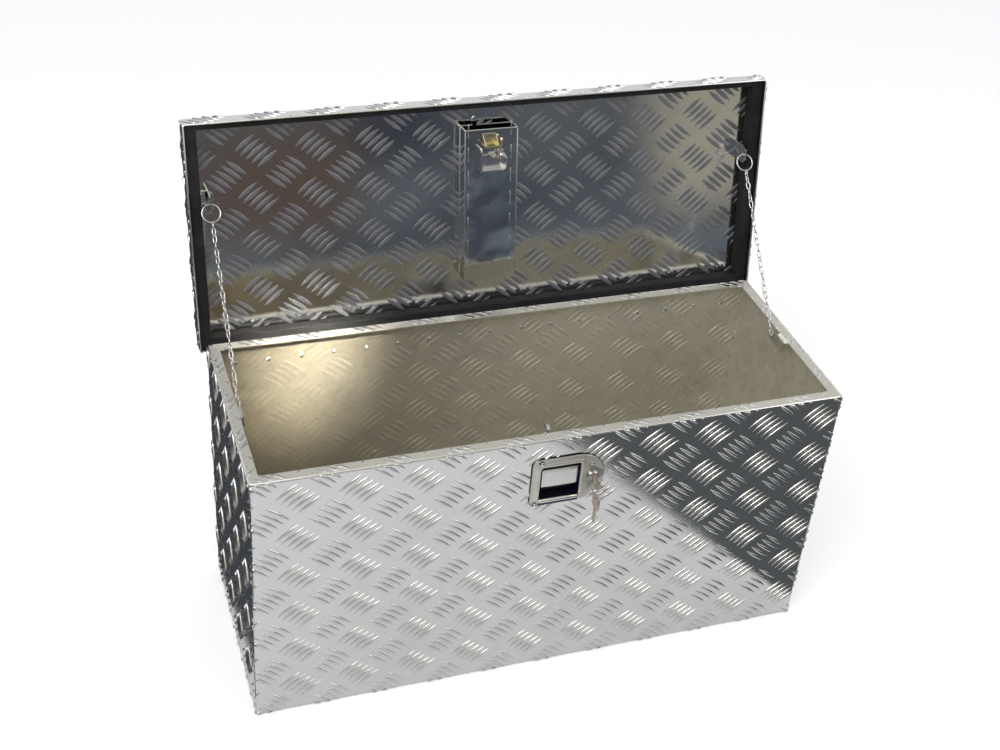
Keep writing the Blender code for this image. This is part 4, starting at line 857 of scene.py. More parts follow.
@dataclass(frozen=True)
class TreadPattern:
    """Raised bars in clusters of five that lean by turns to either side."""

    pitch: Pair = (0.07576, 0.06228)
    partner: Pair = (-0.0377, 0.0309)
    bars: int = 5
    bar_length: float = 0.037
    bar_width: float = 0.0053
    bar_step: Pair = (0.0067, 0.00565)
    lean_angle: float = math.radians(38.7)
    sides: int = 8
    rings: int = 6
    root: float = 0.0005
    edge: float = 0.0012

    def bar(self, mesh: BMesh, lean: Lean, step: float, rise: float) -> None:
        """Adds one lens-shaped bar about the cluster's middle.

        Args:
            mesh: The bmesh that takes it.
            lean: The way that it leans.
            step: Its place in the cluster, 0 in the middle.
            rise: Its height above the sheet.
        """
        verts = sphere(mesh, self.sides, self.rings, radius=1.0)
        bmesh.ops.rotate(mesh, verts=verts, matrix=QUARTER["Y"])
        for vert in verts:
            slim = math.sqrt(max(0.0, 1.0 - vert.co.x * vert.co.x))
            vert.co.y *= slim * self.bar_width / 2
            vert.co.z *= slim * rise if vert.co.z > 0 else self.root
            vert.co.x *= self.bar_length / 2
        turn = Matrix.Rotation(self.lean_angle * lean.value, 3, "Z")
        bmesh.ops.rotate(mesh, verts=verts, matrix=turn)
        move = (self.bar_step[0] * step, -self.bar_step[1] * step * lean.value, 0.0)
        bmesh.ops.translate(mesh, verts=verts, vec=move)

    def build(self, panel: Panel) -> BMesh:
        """Covers a panel with clusters and trims them at its edges.

        Args:
            panel: The face to cover.

        Returns:
            The bars, in place.
        """
        mesh = bmesh.new()
        for lean, shift in ((Lean.FALLING, (0.0, 0.0)), (Lean.RISING, self.partner)):
            before = set(mesh.verts)
            for place in range(self.bars):
                self.bar(mesh, lean, place - (self.bars - 1) / 2, panel.rise)
            for axis, span in enumerate((panel.width, panel.height)):
                places = self.places(panel.phase[axis] + shift[axis], self.pitch[axis], span)
                self.repeat(mesh, before, [(X, Y)[axis] * place for place in places])
        sides = (
            (X * self.edge, -X),
            (X * (panel.width - self.edge), X),
            (Y * self.edge, -Y),
            (Y * (panel.height - self.edge), Y),
        )
        for point, way in sides:
            self.trim(mesh, point, way)
        if panel.spare:
            self.leave_out(mesh, panel.spare)
        mesh.transform(panel.place())
        return mesh

    def places(self, start: float, pitch: float, span: float) -> list[float]:
        """The repeats of a place, a pitch apart, that reach a span.

        Args:
            start: One of them.
            pitch: The step between them.
            span: The span, from 0. They may lie a bar's length outside it.

        Returns:
            The places.
        """
        first = math.ceil((-self.bar_length - start) / pitch)
        last = math.floor((span + self.bar_length - start) / pitch)
        return [start + pitch * index for index in range(first, last + 1)]

    def repeat(self, mesh: BMesh, before: set, moves: list[Vector]) -> None:
        """Copies what was added to the mesh to several places.

        Args:
            mesh: The bars.
            before: The vertices that were there earlier and stay single.
            moves: How far each copy goes. The source goes with the first.
        """
        source = [v for v in mesh.verts if v not in before]
        shape = source + held(source, "link_edges") + held(source, "link_faces")
        for move in moves[1:]:
            verts = only(bmesh.ops.duplicate(mesh, geom=shape)["geom"], bmesh.types.BMVert)
            bmesh.ops.translate(mesh, verts=verts, vec=move)
        bmesh.ops.translate(mesh, verts=source, vec=moves[0])

    def trim(self, mesh: BMesh, point: Vector, way: Vector) -> None:
        """Cuts off what lies past a plane and closes the cut.

        Args:
            mesh: The bars.
            point: A point on the plane.
            way: The direction that is cut off.
        """
        geom = mesh.verts[:] + mesh.edges[:] + mesh.faces[:]
        cut = bmesh.ops.bisect_plane(mesh, geom=geom, plane_co=point, plane_no=way, clear_outer=True)
        bmesh.ops.holes_fill(mesh, edges=only(cut["geom_cut"], bmesh.types.BMEdge), sides=0)

    def leave_out(self, mesh: BMesh, area: Area) -> None:
        """Cuts the bars away from a rectangle and closes the cuts.

        Args:
            mesh: The bars.
            area: The rectangle's low X and Y and its high X and Y, on the panel.
        """
        low_x, low_y, high_x, high_y = area
        touched = {v for v in mesh.verts if low_x < v.co.x < high_x and low_y < v.co.y < high_y}
        front = set(touched)
        while front:
            front = {e.other_vert(v) for v in front for e in v.link_edges} - touched
            touched |= front
        index = [v in touched for v in mesh.verts]
        whole = mesh.copy()
        clear = [v for v, inside in zip(whole.verts, index) if not inside]
        bmesh.ops.delete(whole, geom=clear, context="VERTS")
        bmesh.ops.delete(mesh, geom=[v for v, inside in zip(mesh.verts, index) if inside], context="VERTS")
        low, high = Vector((low_x, low_y, 0.0)), Vector((high_x, high_y, 0.0))
        between = (low, -X), (high, X)
        for cuts in (((low, X),), ((high, -X),), (*between, (low, Y)), (*between, (high, -Y))):
            part = whole.copy()
            for point, way in cuts:
                self.trim(part, point, way)
            data = bpy.data.meshes.new("part_of_bars")
            part.to_mesh(data)
            part.free()
            mesh.from_mesh(data)
            bpy.data.meshes.remove(data)
        whole.free()


@dataclass
class TreadSheets(Part):
    """The bars on every face of the body and the lid, outside and inside."""

    outer_rise: float = 0.0018
    inner_rise: float = 0.00008
    rim_rise: float = 0.0002
    pressed_rise: float = 0.0001
    rim_end_phase: float = 0.03
    lid_phases: tuple[Pair, ...] = ((0.103, 0.0157), (0.103, 0.01), (0.03, 0.01), (0.03, 0.01))
    lid_top_phase: Pair = (0.103, 0.04)
    lid_inside_phase: Pair = (0.0502, 0.2214)
    at_latch: Area = (0.3555, 0.2885, 0.4095, 0.3455)
    behind_latch: Area = (0.3525, 0.2845, 0.4085, 0.3445)
    pattern: TreadPattern = TreadPattern()
    pressed: TreadPattern = TreadPattern(bar_width=0.0064, bar_length=0.034)

    def walls(
        self, names: str, body: str, reach: Pair, low: float, tall: float, rise: float, look: Look = BARS
    ) -> list[Panel]:
        """The upright faces of a box about the Z axis. The lining's face inwards.

        Args:
            names: The names of its front, back, left and right face.
            body: The body that carries them.
            reach: Half the box's width and half its depth.
            low: The level of its foot.
            tall: Its height.
            rise: How high the bars stand.
            look: The bars' finish.

        Returns:
            The faces.
        """
        panels = []
        for name, out in zip(names.split(), (-Y, Y, -X, X)):
            right = Z.cross(-out if look is LINING_BARS else out)
            off, along = (reach[0] if way.x else reach[1] for way in (out, right))
            corner = out * off - right * along + Z * low
            panels.append(Panel(name, body, corner, right, Z, 2 * along, tall, rise, look=look))
        return panels

    def body_panels(self) -> list[Panel]:
        """The faces of the body.

        Returns:
            The outer faces, the inner ones and the floor.
        """
        outer = (BODY_WIDTH / 2, BODY_DEPTH / 2)
        in_x, in_y = (side - SHEET for side in outer)
        tall = BODY_HEIGHT - 2 * SHEET
        low = self.inner_rise
        names = "inner_front inner_back inner_left inner_right"
        outside = self.walls("front back left_end right_end", "box", outer, 0.0, BODY_HEIGHT, self.outer_rise)
        inside = self.walls(names, "box", (in_x, in_y), SHEET, tall, low, LINING_BARS)
        panels = []
        for walls, spare in ((outside, self.at_latch), (inside, self.behind_latch)):
            panels += [replace(walls[0], spare=spare), walls[1], walls[2].sideways(), walls[3].sideways()]
        corner = Vector((-in_x, -in_y, SHEET))
        floor = Panel("inner_floor", "box", corner, X, Y, 2 * in_x, 2 * in_y, low, look=LINING_BARS)
        return panels + [floor]

    def rim_panels(self) -> list[Panel]:
        """The tops of the four rims, those at the ends between the other two.

        Returns:
            The four faces.
        """
        reach = (BODY_WIDTH / 2, BODY_DEPTH / 2)
        names = "rim_front rim_back rim_left rim_right"
        rims = []
        for wall in self.walls(names, "box", reach, BODY_HEIGHT, RIM_WIDTH, self.rim_rise):
            short = RIM_WIDTH if wall.right.y else 0.0
            corner = wall.corner + wall.right * short
            phase = (self.rim_end_phase if short else wall.phase[0], 0.0)
            up = Z.cross(wall.right)
            rims.append(replace(wall, corner=corner, up=up, width=wall.width - 2 * short, phase=phase))
        return rims

    def lid_panels(self) -> list[Panel]:
        """The faces of the lid, as it lies closed.

        Returns:
            The top, the skirt's sides and the inside.
        """
        half, deep = BODY_WIDTH / 2 + LID_OVERHANG, BODY_DEPTH / 2 + LID_OVERHANG
        in_x, in_y = half - SHEET, deep - SHEET
        rise = self.outer_rise
        names = "lid_front lid_back lid_left lid_right"
        walls = self.walls(names, "lid", (half, deep), LID_TOP - LID_SKIRT, LID_SKIRT, rise)
        sides = [replace(wall, phase=phase) for wall, phase in zip(walls, self.lid_phases)]
        corner = Vector((-half, -deep, LID_TOP))
        top = Panel("lid_top", "lid", corner, X, Y, 2 * half, 2 * deep, rise, self.lid_top_phase)
        corner = Vector((-in_x, in_y, LID_TOP - SHEET))
        size = (2 * in_x, 2 * in_y, self.pressed_rise)
        inside = Panel("lid_inside", "lid", corner, X, -Y, *size, self.lid_inside_phase, PRESSED_BARS)
        return [top, *sides, inside]

    def build(self) -> None:
        """Makes one piece for each face."""
        for panel in self.body_panels() + self.rim_panels() + self.lid_panels():
            mesh = (self.pressed if panel.look is PRESSED_BARS else self.pattern).build(panel)
            if panel.body == "lid":
                mesh.transform(LID_OPENED)
            self.piece(f"tread_bars_{panel.name}", mesh, panel.look, panel.body, "tread")


@dataclass
class StayChain(Part):
    """One welded stay chain with its ring at the lid, held taut by the open lid."""

    side: str
    across: float
    wire: float = 0.0015
    link_width: float = 0.006
    nominal_pitch: float = 0.009
    weld: float = 0.0003
    twist: float = math.radians(60.0)
    lower_share: float = 0.46
    ring_diameter: float = 0.0245
    ring_wire: float = 0.0018
    hole_radius: float = 0.0022
    gap: float = 0.0003
    fold_reach: float = 0.00175
    fold_ring_wire: float = 0.0009
    fold_gap: float = 0.00005
    top: tuple[float, float] = (0.183796, 0.564891)
    bottom: tuple[float, float] = (0.0185, 0.3705)

    def loop(self, mesh: BMesh, radius: float, wire: float, sides: int, steps: int) -> Verts:
        """Spins a round wire into a closed ring in the XY plane.

        Args:
            mesh: The bmesh that takes it.
            radius: The ring's radius to the middle of the wire.
            wire: The wire's diameter.
            sides: Corners round the wire.
            steps: Steps round the ring.

        Returns:
            The ring's vertices.
        """
        before = set(mesh.verts)
        start = bmesh.ops.create_circle(mesh, segments=sides, radius=wire / 2)["verts"]
        bmesh.ops.rotate(mesh, verts=start, matrix=QUARTER["X"])
        bmesh.ops.translate(mesh, verts=start, vec=X * radius)
        spin(mesh, start, held(start, "link_edges"), steps)
        return [v for v in mesh.verts if v not in before]

    def link(self, mesh: BMesh, length: float) -> Verts:
        """Adds one oval link along X.

        Args:
            mesh: The bmesh that takes it.
            length: The link's length outside.

        Returns:
            The link's vertices.
        """
        verts = self.loop(mesh, (self.link_width - self.wire) / 2, self.wire, sides=8, steps=12)
        for vert in verts:
            if abs(vert.co.x) > 1e-6:
                vert.co.x += math.copysign((length - self.link_width) / 2, vert.co.x)
        return verts

    def fold(self, first: float, last: float) -> tuple[float, int, int]:
        """Finds where the chain folds as the lid closes.

        Args:
            first: The first wire's place along the chain.
            last: The last wire's place along the chain.

        Returns:
            The fold's place along the chain and the links above and below it.
        """
        weld_step = self.wire - self.weld
        free_step = self.wire + self.gap
        count = round((last - first) / self.nominal_pitch)
        length = (last - first + (count - 2) * weld_step + free_step) / count
        upper = count - round(count * self.lower_share)
        place = first + upper * length - (upper - 1) * weld_step - free_step / 2
        return place, upper, count - upper

    def run(self, mesh: BMesh, start: Matrix, span: Pair, count: int, odd: int) -> None:
        """Adds a straight run of links, each turned a little more about the chain than the last.

        Args:
            mesh: The bmesh that takes them.
            start: The chain's own axes at its top, with X along it.
            span: The first and the last wire's places along the chain.
            count: How many links there are.
            odd: 1 for a run that turns an odd number of quarters, from flat to upright, or else 0.
        """
        step = self.wire - self.weld
        length = (span[1] - span[0] + (count - 1) * step) / count
        halves = math.floor((count - 1) * self.twist / math.pi)
        turn = (2 * halves + odd) * math.pi / 2 / (count - 1)
        begin = 0.0 if odd else math.pi / 2
        for index in range(count):
            verts = self.link(mesh, length + self.wire)
            middle = span[0] + index * (length - step) + length / 2
            place = Matrix.Translation(X * middle) @ Matrix.Rotation(begin + turn * index, 4, "X")
            bmesh.ops.transform(mesh, matrix=start @ place, verts=verts)

    def build(self) -> None:
        """Makes the upper and the lower run in the place of the chain's solids."""
        top, bottom = Vector((self.across, *self.top)), Vector((self.across, *self.bottom))
        along = (bottom - top).normalized()
        ring_radius = (self.ring_diameter - self.ring_wire) / 2
        ring_start = self.hole_radius - self.ring_wire / 2 - self.gap
        first = ring_start + 2 * ring_radius - (self.ring_wire + self.wire) / 2 + self.weld
        last = (bottom - top).length - (self.hole_radius - self.wire / 2 - self.gap)
        fold, upper, lower = self.fold(first, last)
        runs = {"upper": bmesh.new(), "lower": bmesh.new()}
        start = Matrix.Translation(top) @ Matrix((along, X.cross(along), X)).transposed().to_4x4()
        self.run(runs["upper"], start, (first, fold - self.fold_reach), upper, 1)
        self.run(runs["lower"], start, (fold + self.fold_reach, last), lower, 0)
        fold_radius = self.fold_reach + (self.wire + self.fold_ring_wire) / 2 + self.fold_gap
        joint = self.loop(runs["upper"], fold_radius, self.fold_ring_wire, sides=8, steps=20)
        bmesh.ops.transform(runs["upper"], matrix=start @ Matrix.Translation(X * fold), verts=joint)
        ring = self.loop(runs["upper"], ring_radius, self.ring_wire, sides=10, steps=36)
        place = laid(along, X, top + along * (ring_start + ring_radius))
        bmesh.ops.transform(runs["upper"], matrix=place, verts=ring)
        for run, mesh in runs.items():
            end = f"{self.side}_{run}"
            made = self.piece(f"stay_links_{end}", mesh, PLATED, f"chain_{end}", "chrome")
            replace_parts(made, f"stay_chain_{end}")


@dataclass
class LatchPlate(Part):
    """The stamped plate of the latch, its raised frame and its pocket, with its rivets.

    A curve lists the steps of a bend, each as an inset and a distance along Y.
    """

    face: float = -0.1456
    back: float = -0.1441
    left: float = -0.0375
    right: float = 0.059
    low: float = 0.284
    high: float = 0.356
    corner: float = 0.008
    edge_curve: tuple[Pair, ...] = ((0.0, 0.0006), (0.0002, 0.0002), (0.0006, 0.0))
    frame: tuple[Pair, Pair, float] = ((-0.032, 0.288), (0.032, 0.350), 0.006)
    frame_curve: tuple[Pair, ...] = ((0.0, 0.0), (0.0005, 0.0003), (0.0011, 0.0009), (0.0017, 0.0012))
    pocket: tuple[Pair, Pair, float] = ((-0.026, 0.290), (0.026, 0.344), 0.003)
    lip_curve: tuple[Pair, ...] = ((0.0011, 0.0012), (0.000495, 0.0009), (0.00011, 0.0002), (0.0, -0.0006))
    pocket_floor: float = -0.1237
    floor_curve: tuple[Pair, ...] = ((0.0, 0.0015), (0.0005, 0.0004), (0.0016, 0.0))
    wall: float = 0.0012
    least_corner: float = 0.0003
    bar_radius: float = 0.003
    bar_place: Pair = (-0.1446, 0.2905)
    shank: float = 0.0016
    neck: float = 0.0008
    dome: float = 0.0012
    seat: float = 0.97
    edge: float = 0.0002
    # The dark rings round the rivet heads are painted shadow on the plate.
    shadow_ring_drop: float = 0.00125
    shadow_ring_under: float = 0.0005
    shadow_ring_spread: float = 0.0006

    def ring(self, low: Pair, high: Pair, radius: float, inset: float, depth: float) -> list[Vector]:
        """A rounded rectangle on the plate, with its sides pulled in by an inset, at a depth along Y."""
        radii = (max(radius - inset, self.least_corner),) * 4
        return box_loop((low[0] + inset, low[1] + inset), (high[0] - inset, high[1] - inset), radii, -depth)

    def outline(self, inset: float, depth: float) -> list[Vector]:
        """The plate's own outline, square at the left and round at the right.

        Args:
            inset: How far it is pulled in.
            depth: Its place along Y.

        Returns:
            The points.
        """
        left, right = self.corner - inset, (self.high - self.low) / 2 - inset
        low, high = (self.left + inset, self.low + inset), (self.right - inset, self.high - inset)
        return box_loop(low, high, (left, right, right, left), -depth)

    def build(self) -> None:
        """Makes the plate with its pocket, bar and rivets."""
        depths = (self.pocket_floor + self.wall, self.back)
        loops = [self.ring(*self.pocket, -self.wall, depth) for depth in depths]
        loops.append(self.outline(0.0, self.back))
        loops += [self.outline(inset, self.face + step) for inset, step in self.edge_curve]
        loops += [self.ring(*self.frame, inset, self.face - step) for inset, step in self.frame_curve]
        loops += [self.ring(*self.pocket, -inset, self.face - step) for inset, step in self.lip_curve]
        floor = self.pocket_floor
        loops += [self.ring(*self.pocket, inset, floor - step) for inset, step in self.floor_curve]
        mesh = bmesh.new()
        skin(mesh, loops, closed=False)
        mesh.transform(laid(X, Z, Vector()))
        plate = self.piece("latch_plate", mesh, PLATE, "box", "polished")
        plate.modifiers.new("flat_faces_stay_flat", "WEIGHTED_NORMAL")
        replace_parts(plate, "latch_pan")
        bar = bmesh.new()
        low, high, _ = self.pocket
        verts = capsule(bar, self.bar_radius, high[0] - low[0] + self.wall)
        bmesh.ops.translate(bar, verts=verts, vec=(0.0, *self.bar_place))
        self.piece("latch_pocket_bar", bar, BRIGHT, "box", "polished")
        # Dark rings round the rivet heads: painted shadow.
        shadow_rings = bmesh.new()
        for index in range(1, 5):
            self.rivet(f"latch_rivet_{index}", shadow_rings)
        self.piece("latch_rivet_painted_shadow_rings", shadow_rings, FOAM, "box", "foam")

    def rivet(self, node: str, shadow_rings: BMesh) -> None:
        """Makes one domed rivet in the place of its solid, with a dark ring round it that is painted shadow.

        Args:
            node: The rivet's solid.
            shadow_rings: The bmesh that takes the ring.
        """
        low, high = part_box(node)
        middle = (low + high) / 2
        head = (high.x - low.x) / 2
        base = high.y - low.y - self.dome
        rise = base + self.edge
        profile = [(0.0, 0.0), (self.shank, 0.0), (self.shank, base - self.neck)]
        profile += [(head * self.seat, base), (head, rise)]
        for step in range(1, 6):
            angle = step * math.pi / 12
            profile.append((head * math.cos(angle), rise + (self.dome - self.edge) * math.sin(angle)))
        profile.append((0.0, base + self.dome))
        mesh = bmesh.new()
        turned(mesh, profile, steps=20)
        mesh.transform(Matrix.Translation((middle.x, high.y, middle.z)) @ QUARTER["X"])
        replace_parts(self.piece(f"{node}_domed", mesh, POLISHED, "box", "polished"), node)
        # The dark ring at the foot of the head is painted shadow.
        face = -(low.y + self.shadow_ring_drop)
        foot, under = face - self.shadow_ring_spread, head - self.shadow_ring_under
        profile = [(under, face), (head + self.edge, face), (head + self.shadow_ring_spread, foot)]
        profile += [(under, foot), (under, face)]
        verts = turned(shadow_rings, profile, steps=20)
        turn = Matrix.Translation((middle.x, 0.0, middle.z)) @ QUARTER["X"]
        bmesh.ops.transform(shadow_rings, matrix=turn, verts=verts)


@dataclass
class Paddle(Part):
    """The pull handle: a sheet with a rolled top edge, a lip along its foot and a finger behind its pin."""

    half: float = 0.0252
    pin_y: float = -0.1387
    pin_z: float = 0.3388
    roll: float = 0.003
    roll_from: float = math.radians(-60.0)
    roll_turn: float = math.radians(240.0)
    roll_steps: int = 12
    sheet: float = 0.0012
    face_length: float = 0.0300
    face_shares: tuple[float, ...] = (0.33, 0.66, 0.93)
    lip_curve: tuple[Pair, ...] = ((0.0003, 0.0004), (0.0015, 0.00153), (0.0022, 0.0034))
    lip_notch: float = -0.62
    notch_rise: float = 0.0012
    left_gap: float = 0.0020
    bead_height: float = 0.3358
    bead: float = 0.0013
    bead_short: float = 0.001
    bead_sunk: float = 0.0003
    columns: int = 24
    finger: Point = (0.005, 0.0228, 0.003)
    finger_x: float = -0.0035
    finger_back: float = 0.0108
    finger_edge: float = 0.0005

    def profile(self) -> list[Pair]:
        """The sheet's outer side from behind the roll to the lip.

        Returns:
            The points, as (y, z).
        """
        points = []
        for step in range(self.roll_steps + 1):
            angle = self.roll_from + self.roll_turn * step / self.roll_steps
            y, z = self.roll * math.cos(angle), self.roll * math.sin(angle)
            points.append((self.pin_y + y, self.pin_z + z))
        face = self.pin_y - self.roll
        points += [(face, self.pin_z - self.face_length * share) for share in self.face_shares]
        return points + [(face + back, self.pin_z - self.face_length - drop) for back, drop in self.lip_curve]

    def build(self) -> None:
        """Makes the paddle with its finger in the place of its solid."""
        mesh = bmesh.new()
        left = -self.half + self.left_gap
        verts = [mesh.verts.new((left, y, z)) for y, z in self.profile()]
        front = [mesh.edges.new(pair) for pair in zip(verts, verts[1:])]
        step = X * ((self.half - left) / self.columns)
        for _ in range(self.columns):
            grown = bmesh.ops.extrude_edge_only(mesh, edges=front)["geom"]
            moved = only(grown, bmesh.types.BMVert)
            edges = only(grown, bmesh.types.BMEdge)
            front = [e for e in edges if e.is_boundary and all(v in moved for v in e.verts)]
            bmesh.ops.translate(mesh, verts=moved, vec=step)
        lip = self.pin_z - self.face_length - self.sheet
        for vert in mesh.verts:
            if vert.co.z < lip and vert.co.x / self.half < self.lip_notch:
                vert.co.z += self.notch_rise
        bmesh.ops.recalc_face_normals(mesh, faces=mesh.faces)
        bmesh.ops.solidify(mesh, geom=mesh.faces[:], thickness=self.sheet)
        finger = bmesh.ops.create_cube(mesh, size=1.0)["verts"]
        bmesh.ops.scale(mesh, verts=finger, vec=self.finger)
        place = (self.finger_x, self.pin_y + self.finger_back, self.pin_z)
        bmesh.ops.translate(mesh, verts=finger, vec=place)
        rounded(mesh, held(finger, "link_edges"), self.finger_edge)
        bead = capsule(mesh, self.bead, self.half - left - self.bead_short, sides=12)
        place = ((self.half + left) / 2, self.pin_y - self.roll + self.bead_sunk, self.bead_height)
        bmesh.ops.translate(mesh, verts=bead, vec=place)
        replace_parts(self.piece("paddle_handle", mesh, SATIN, "paddle", "polished"), "latch_paddle")


@dataclass
class Lock(Part):
    """The lock's domed face and barrel."""

    x: float = 0.0425
    z: float = 0.3205
    seat: float = -0.1459
    dome_radius: float = 0.008
    dome_height: float = 0.0045
    dome_edge: float = 0.0004
    dome_steps: int = 8
    barrel_radius: float = 0.0068
    barrel_end: float = -0.1185
    hole_radius: float = 0.005

    def build(self) -> None:
        """Makes the domed barrel in the place of its solid."""
        depth = self.barrel_end - self.seat
        rise = depth + self.dome_edge
        inner, outer, wide = self.hole_radius, self.barrel_radius, self.dome_radius
        profile = [(inner, 0.0), (outer, 0.0), (outer, depth), (wide, depth), (wide, rise)]
        for step in range(1, self.dome_steps):
            angle = math.pi / 2 * step / self.dome_steps
            height = rise + (self.dome_height - self.dome_edge) * math.sin(angle)
            profile.append((inner + (wide - inner) * math.cos(angle), height))
        profile += [(inner, depth + self.dome_height), (inner, 0.0)]
        mesh = bmesh.new()
        turned(mesh, profile, steps=36)
        mesh.transform(Matrix.Translation((self.x, self.barrel_end, self.z)) @ QUARTER["X"])
        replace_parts(self.piece("lock_barrel", mesh, DARK_CHROME, "box", "chrome"), "lock_cylinder")


@dataclass
class LidSeal(Part):
    """The rubber strip round the lid, narrower along the front.

    Each of its outlines is half its width, its front, its back and its corners' radius.
    """

    outer: Area = (0.3886, -0.1486, 0.1486, 0.002)
    inner: Area = (0.374, -0.1405, 0.134, 0.0005)
    low: float = 0.3843
    high: float = 0.4015
    edge: float = 0.0012
    edge_steps: int = 3

    def loop(self, sides: Area, inset: float, level: float) -> list[Vector]:
        """One loop of the strip.

        Args:
            sides: The outline that it follows.
            inset: How far its sides are pulled in.
            level: Its height.

        Returns:
            The points.
        """
        half, front, back, corner = sides
        low, high = (inset - half, inset + front), (half - inset, back - inset)
        return box_loop(low, high, (corner,) * 4, level, steps=2)

    def build(self) -> None:
        """Makes the strip in the place of the lid's gasket."""
        curve = []
        for step in range(self.edge_steps + 1):
            angle = math.pi / 2 * step / self.edge_steps
            curve.append((self.edge * (1 - math.sin(angle)), self.low + self.edge * (1 - math.cos(angle))))
        loops = [self.loop(self.outer, inset, level) for inset, level in curve]
        loops += [self.loop(sides, 0.0, self.high) for sides in (self.outer, self.inner)]
        loops += [self.loop(self.inner, -inset, level) for inset, level in reversed(curve)]
        mesh = bmesh.new()
        skin(mesh, loops, closed=True)
        mesh.transform(LID_OPENED)
        made = self.piece("lid_seal_strip", mesh, FOAM, "lid", "foam")
        made.modifiers.new("flat_faces_stay_flat", "WEIGHTED_NORMAL")
        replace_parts(made, "lid_gasket")


@dataclass
class ChannelDetails(Part):
    """The raised stitches on the channel's face, its bright folds and the rolled rim of its open mouth."""

    offsets: Pair = (-0.031, 0.0268)
    start: float = 0.0008
    length: float = 0.0185
    pitch: float = 0.0315
    count: int = 7
    width: float = 0.0013
    rise: float = 0.0005
    half: float = 0.0355
    face: float = 0.3788
    root: float = 0.4013
    line: float = 0.0006
    line_lift: float = 0.0002
    line_short: float = 0.004
    mouth: float = 0.00078
    mouth_inset: float = 0.0006
    mouth_lift: float = 0.0003
    mouth_over: float = 0.001

    def bar(
        self, mesh: BMesh, place: Point, length: float, radius: float, turn: Matrix, flat: float = 1.0
    ) -> None:
        """Adds one round-ended bar.

        Args:
            mesh: The bmesh that takes it.
            place: Its middle, on the closed lid.
            length: Its length.
            radius: Half its width.
            turn: The turn that brings it from X to its direction.
            flat: How far it is flattened along Z, 1 for round.
        """
        verts = capsule(mesh, radius, length, sides=8)
        bmesh.ops.scale(mesh, verts=verts, vec=(1.0, 1.0, flat))
        bmesh.ops.rotate(mesh, verts=verts, matrix=turn)
        bmesh.ops.translate(mesh, verts=verts, vec=place)

    def build(self) -> None:
        """Makes the stitches, the folds and the rim on the lid."""
        closed = LID_OPENED.inverted()
        places = [closed @ v.co for v in frame["nodes"]["lid_channel"].data.vertices]
        reach = [place.y for place in places if place.z < self.face + self.rise]
        front, back = min(reach), max(reach)
        mesh = bmesh.new()
        for x in self.offsets:
            for index in range(self.count):
                middle = (x, front + self.start + self.pitch * index, self.face)
                self.bar(mesh, middle, self.length, self.width / 2, QUARTER["Z"], 2 * self.rise / self.width)
        long = back - front - self.line_short
        mouth_y = front + self.mouth_inset
        for x in (-self.half, self.half):
            for level in (self.face + self.line_lift, self.root):
                self.bar(mesh, (x, (front + back) / 2, level), long, self.line, QUARTER["Z"])
            middle = (x, mouth_y, (self.face + self.root) / 2)
            self.bar(mesh, middle, self.root - self.face, self.mouth, QUARTER["Y"])
        for level in (self.face + self.mouth_lift, self.root - self.mouth_lift):
            wide = 2 * self.half + self.mouth_over
            self.bar(mesh, (0.0, mouth_y, level), wide, self.mouth, Matrix.Identity(3))
        mesh.transform(LID_OPENED)
        self.piece("channel_stitches", mesh, BRIGHT, "lid", "plain")


@dataclass
class SheetEdges(Part):
    """The rounded bend along the top of the body and the rolled hem along the foot of the lid's skirt."""

    bend: float = 0.0014
    hem: float = 0.0012
    proud: float = 0.0002

    def corners(self, half: float, deep: float, level: float) -> list[Vector]:
        """The corners of a level rectangle, counter-clockwise from the left front."""
        places = (-half, -deep), (half, -deep), (half, deep), (-half, deep)
        return [Vector((x, y, level)) for x, y in places]

    def beads(self, line: list[Vector], radius: float) -> BMesh:
        """Lays a round bead from point to point, its ends short of them by its own radius.

        Args:
            line: The points.
            radius: Half the beads' width.

        Returns:
            The beads.
        """
        mesh = bmesh.new()
        for start, end in zip(line, line[1:]):
            verts = capsule(mesh, radius, (end - start).length - 2 * radius, sides=12)
            turn = X.rotation_difference((end - start).normalized()).to_matrix()
            bmesh.ops.rotate(mesh, verts=verts, matrix=turn)
            bmesh.ops.translate(mesh, verts=verts, vec=(start + end) / 2)
        return mesh

    def build(self) -> None:
        """Makes the body's bends and the lid's hems."""
        inset = self.bend - self.proud
        line = self.corners(BODY_WIDTH / 2 - inset, BODY_DEPTH / 2 - inset, BODY_HEIGHT - inset)
        self.piece("rim_bends", self.beads(line + line[:1], self.bend), BRIGHT, "box", "plain")
        out = LID_OVERHANG - SHEET / 2
        level = LID_TOP - LID_SKIRT + self.hem - 2 * self.proud
        line = self.corners(BODY_WIDTH / 2 + out, BODY_DEPTH / 2 + out, level)
        mesh = self.beads(line[3:] + line[:3], self.hem)
        mesh.transform(LID_OPENED)
        self.piece("skirt_hems", mesh, BRIGHT, "lid", "plain")


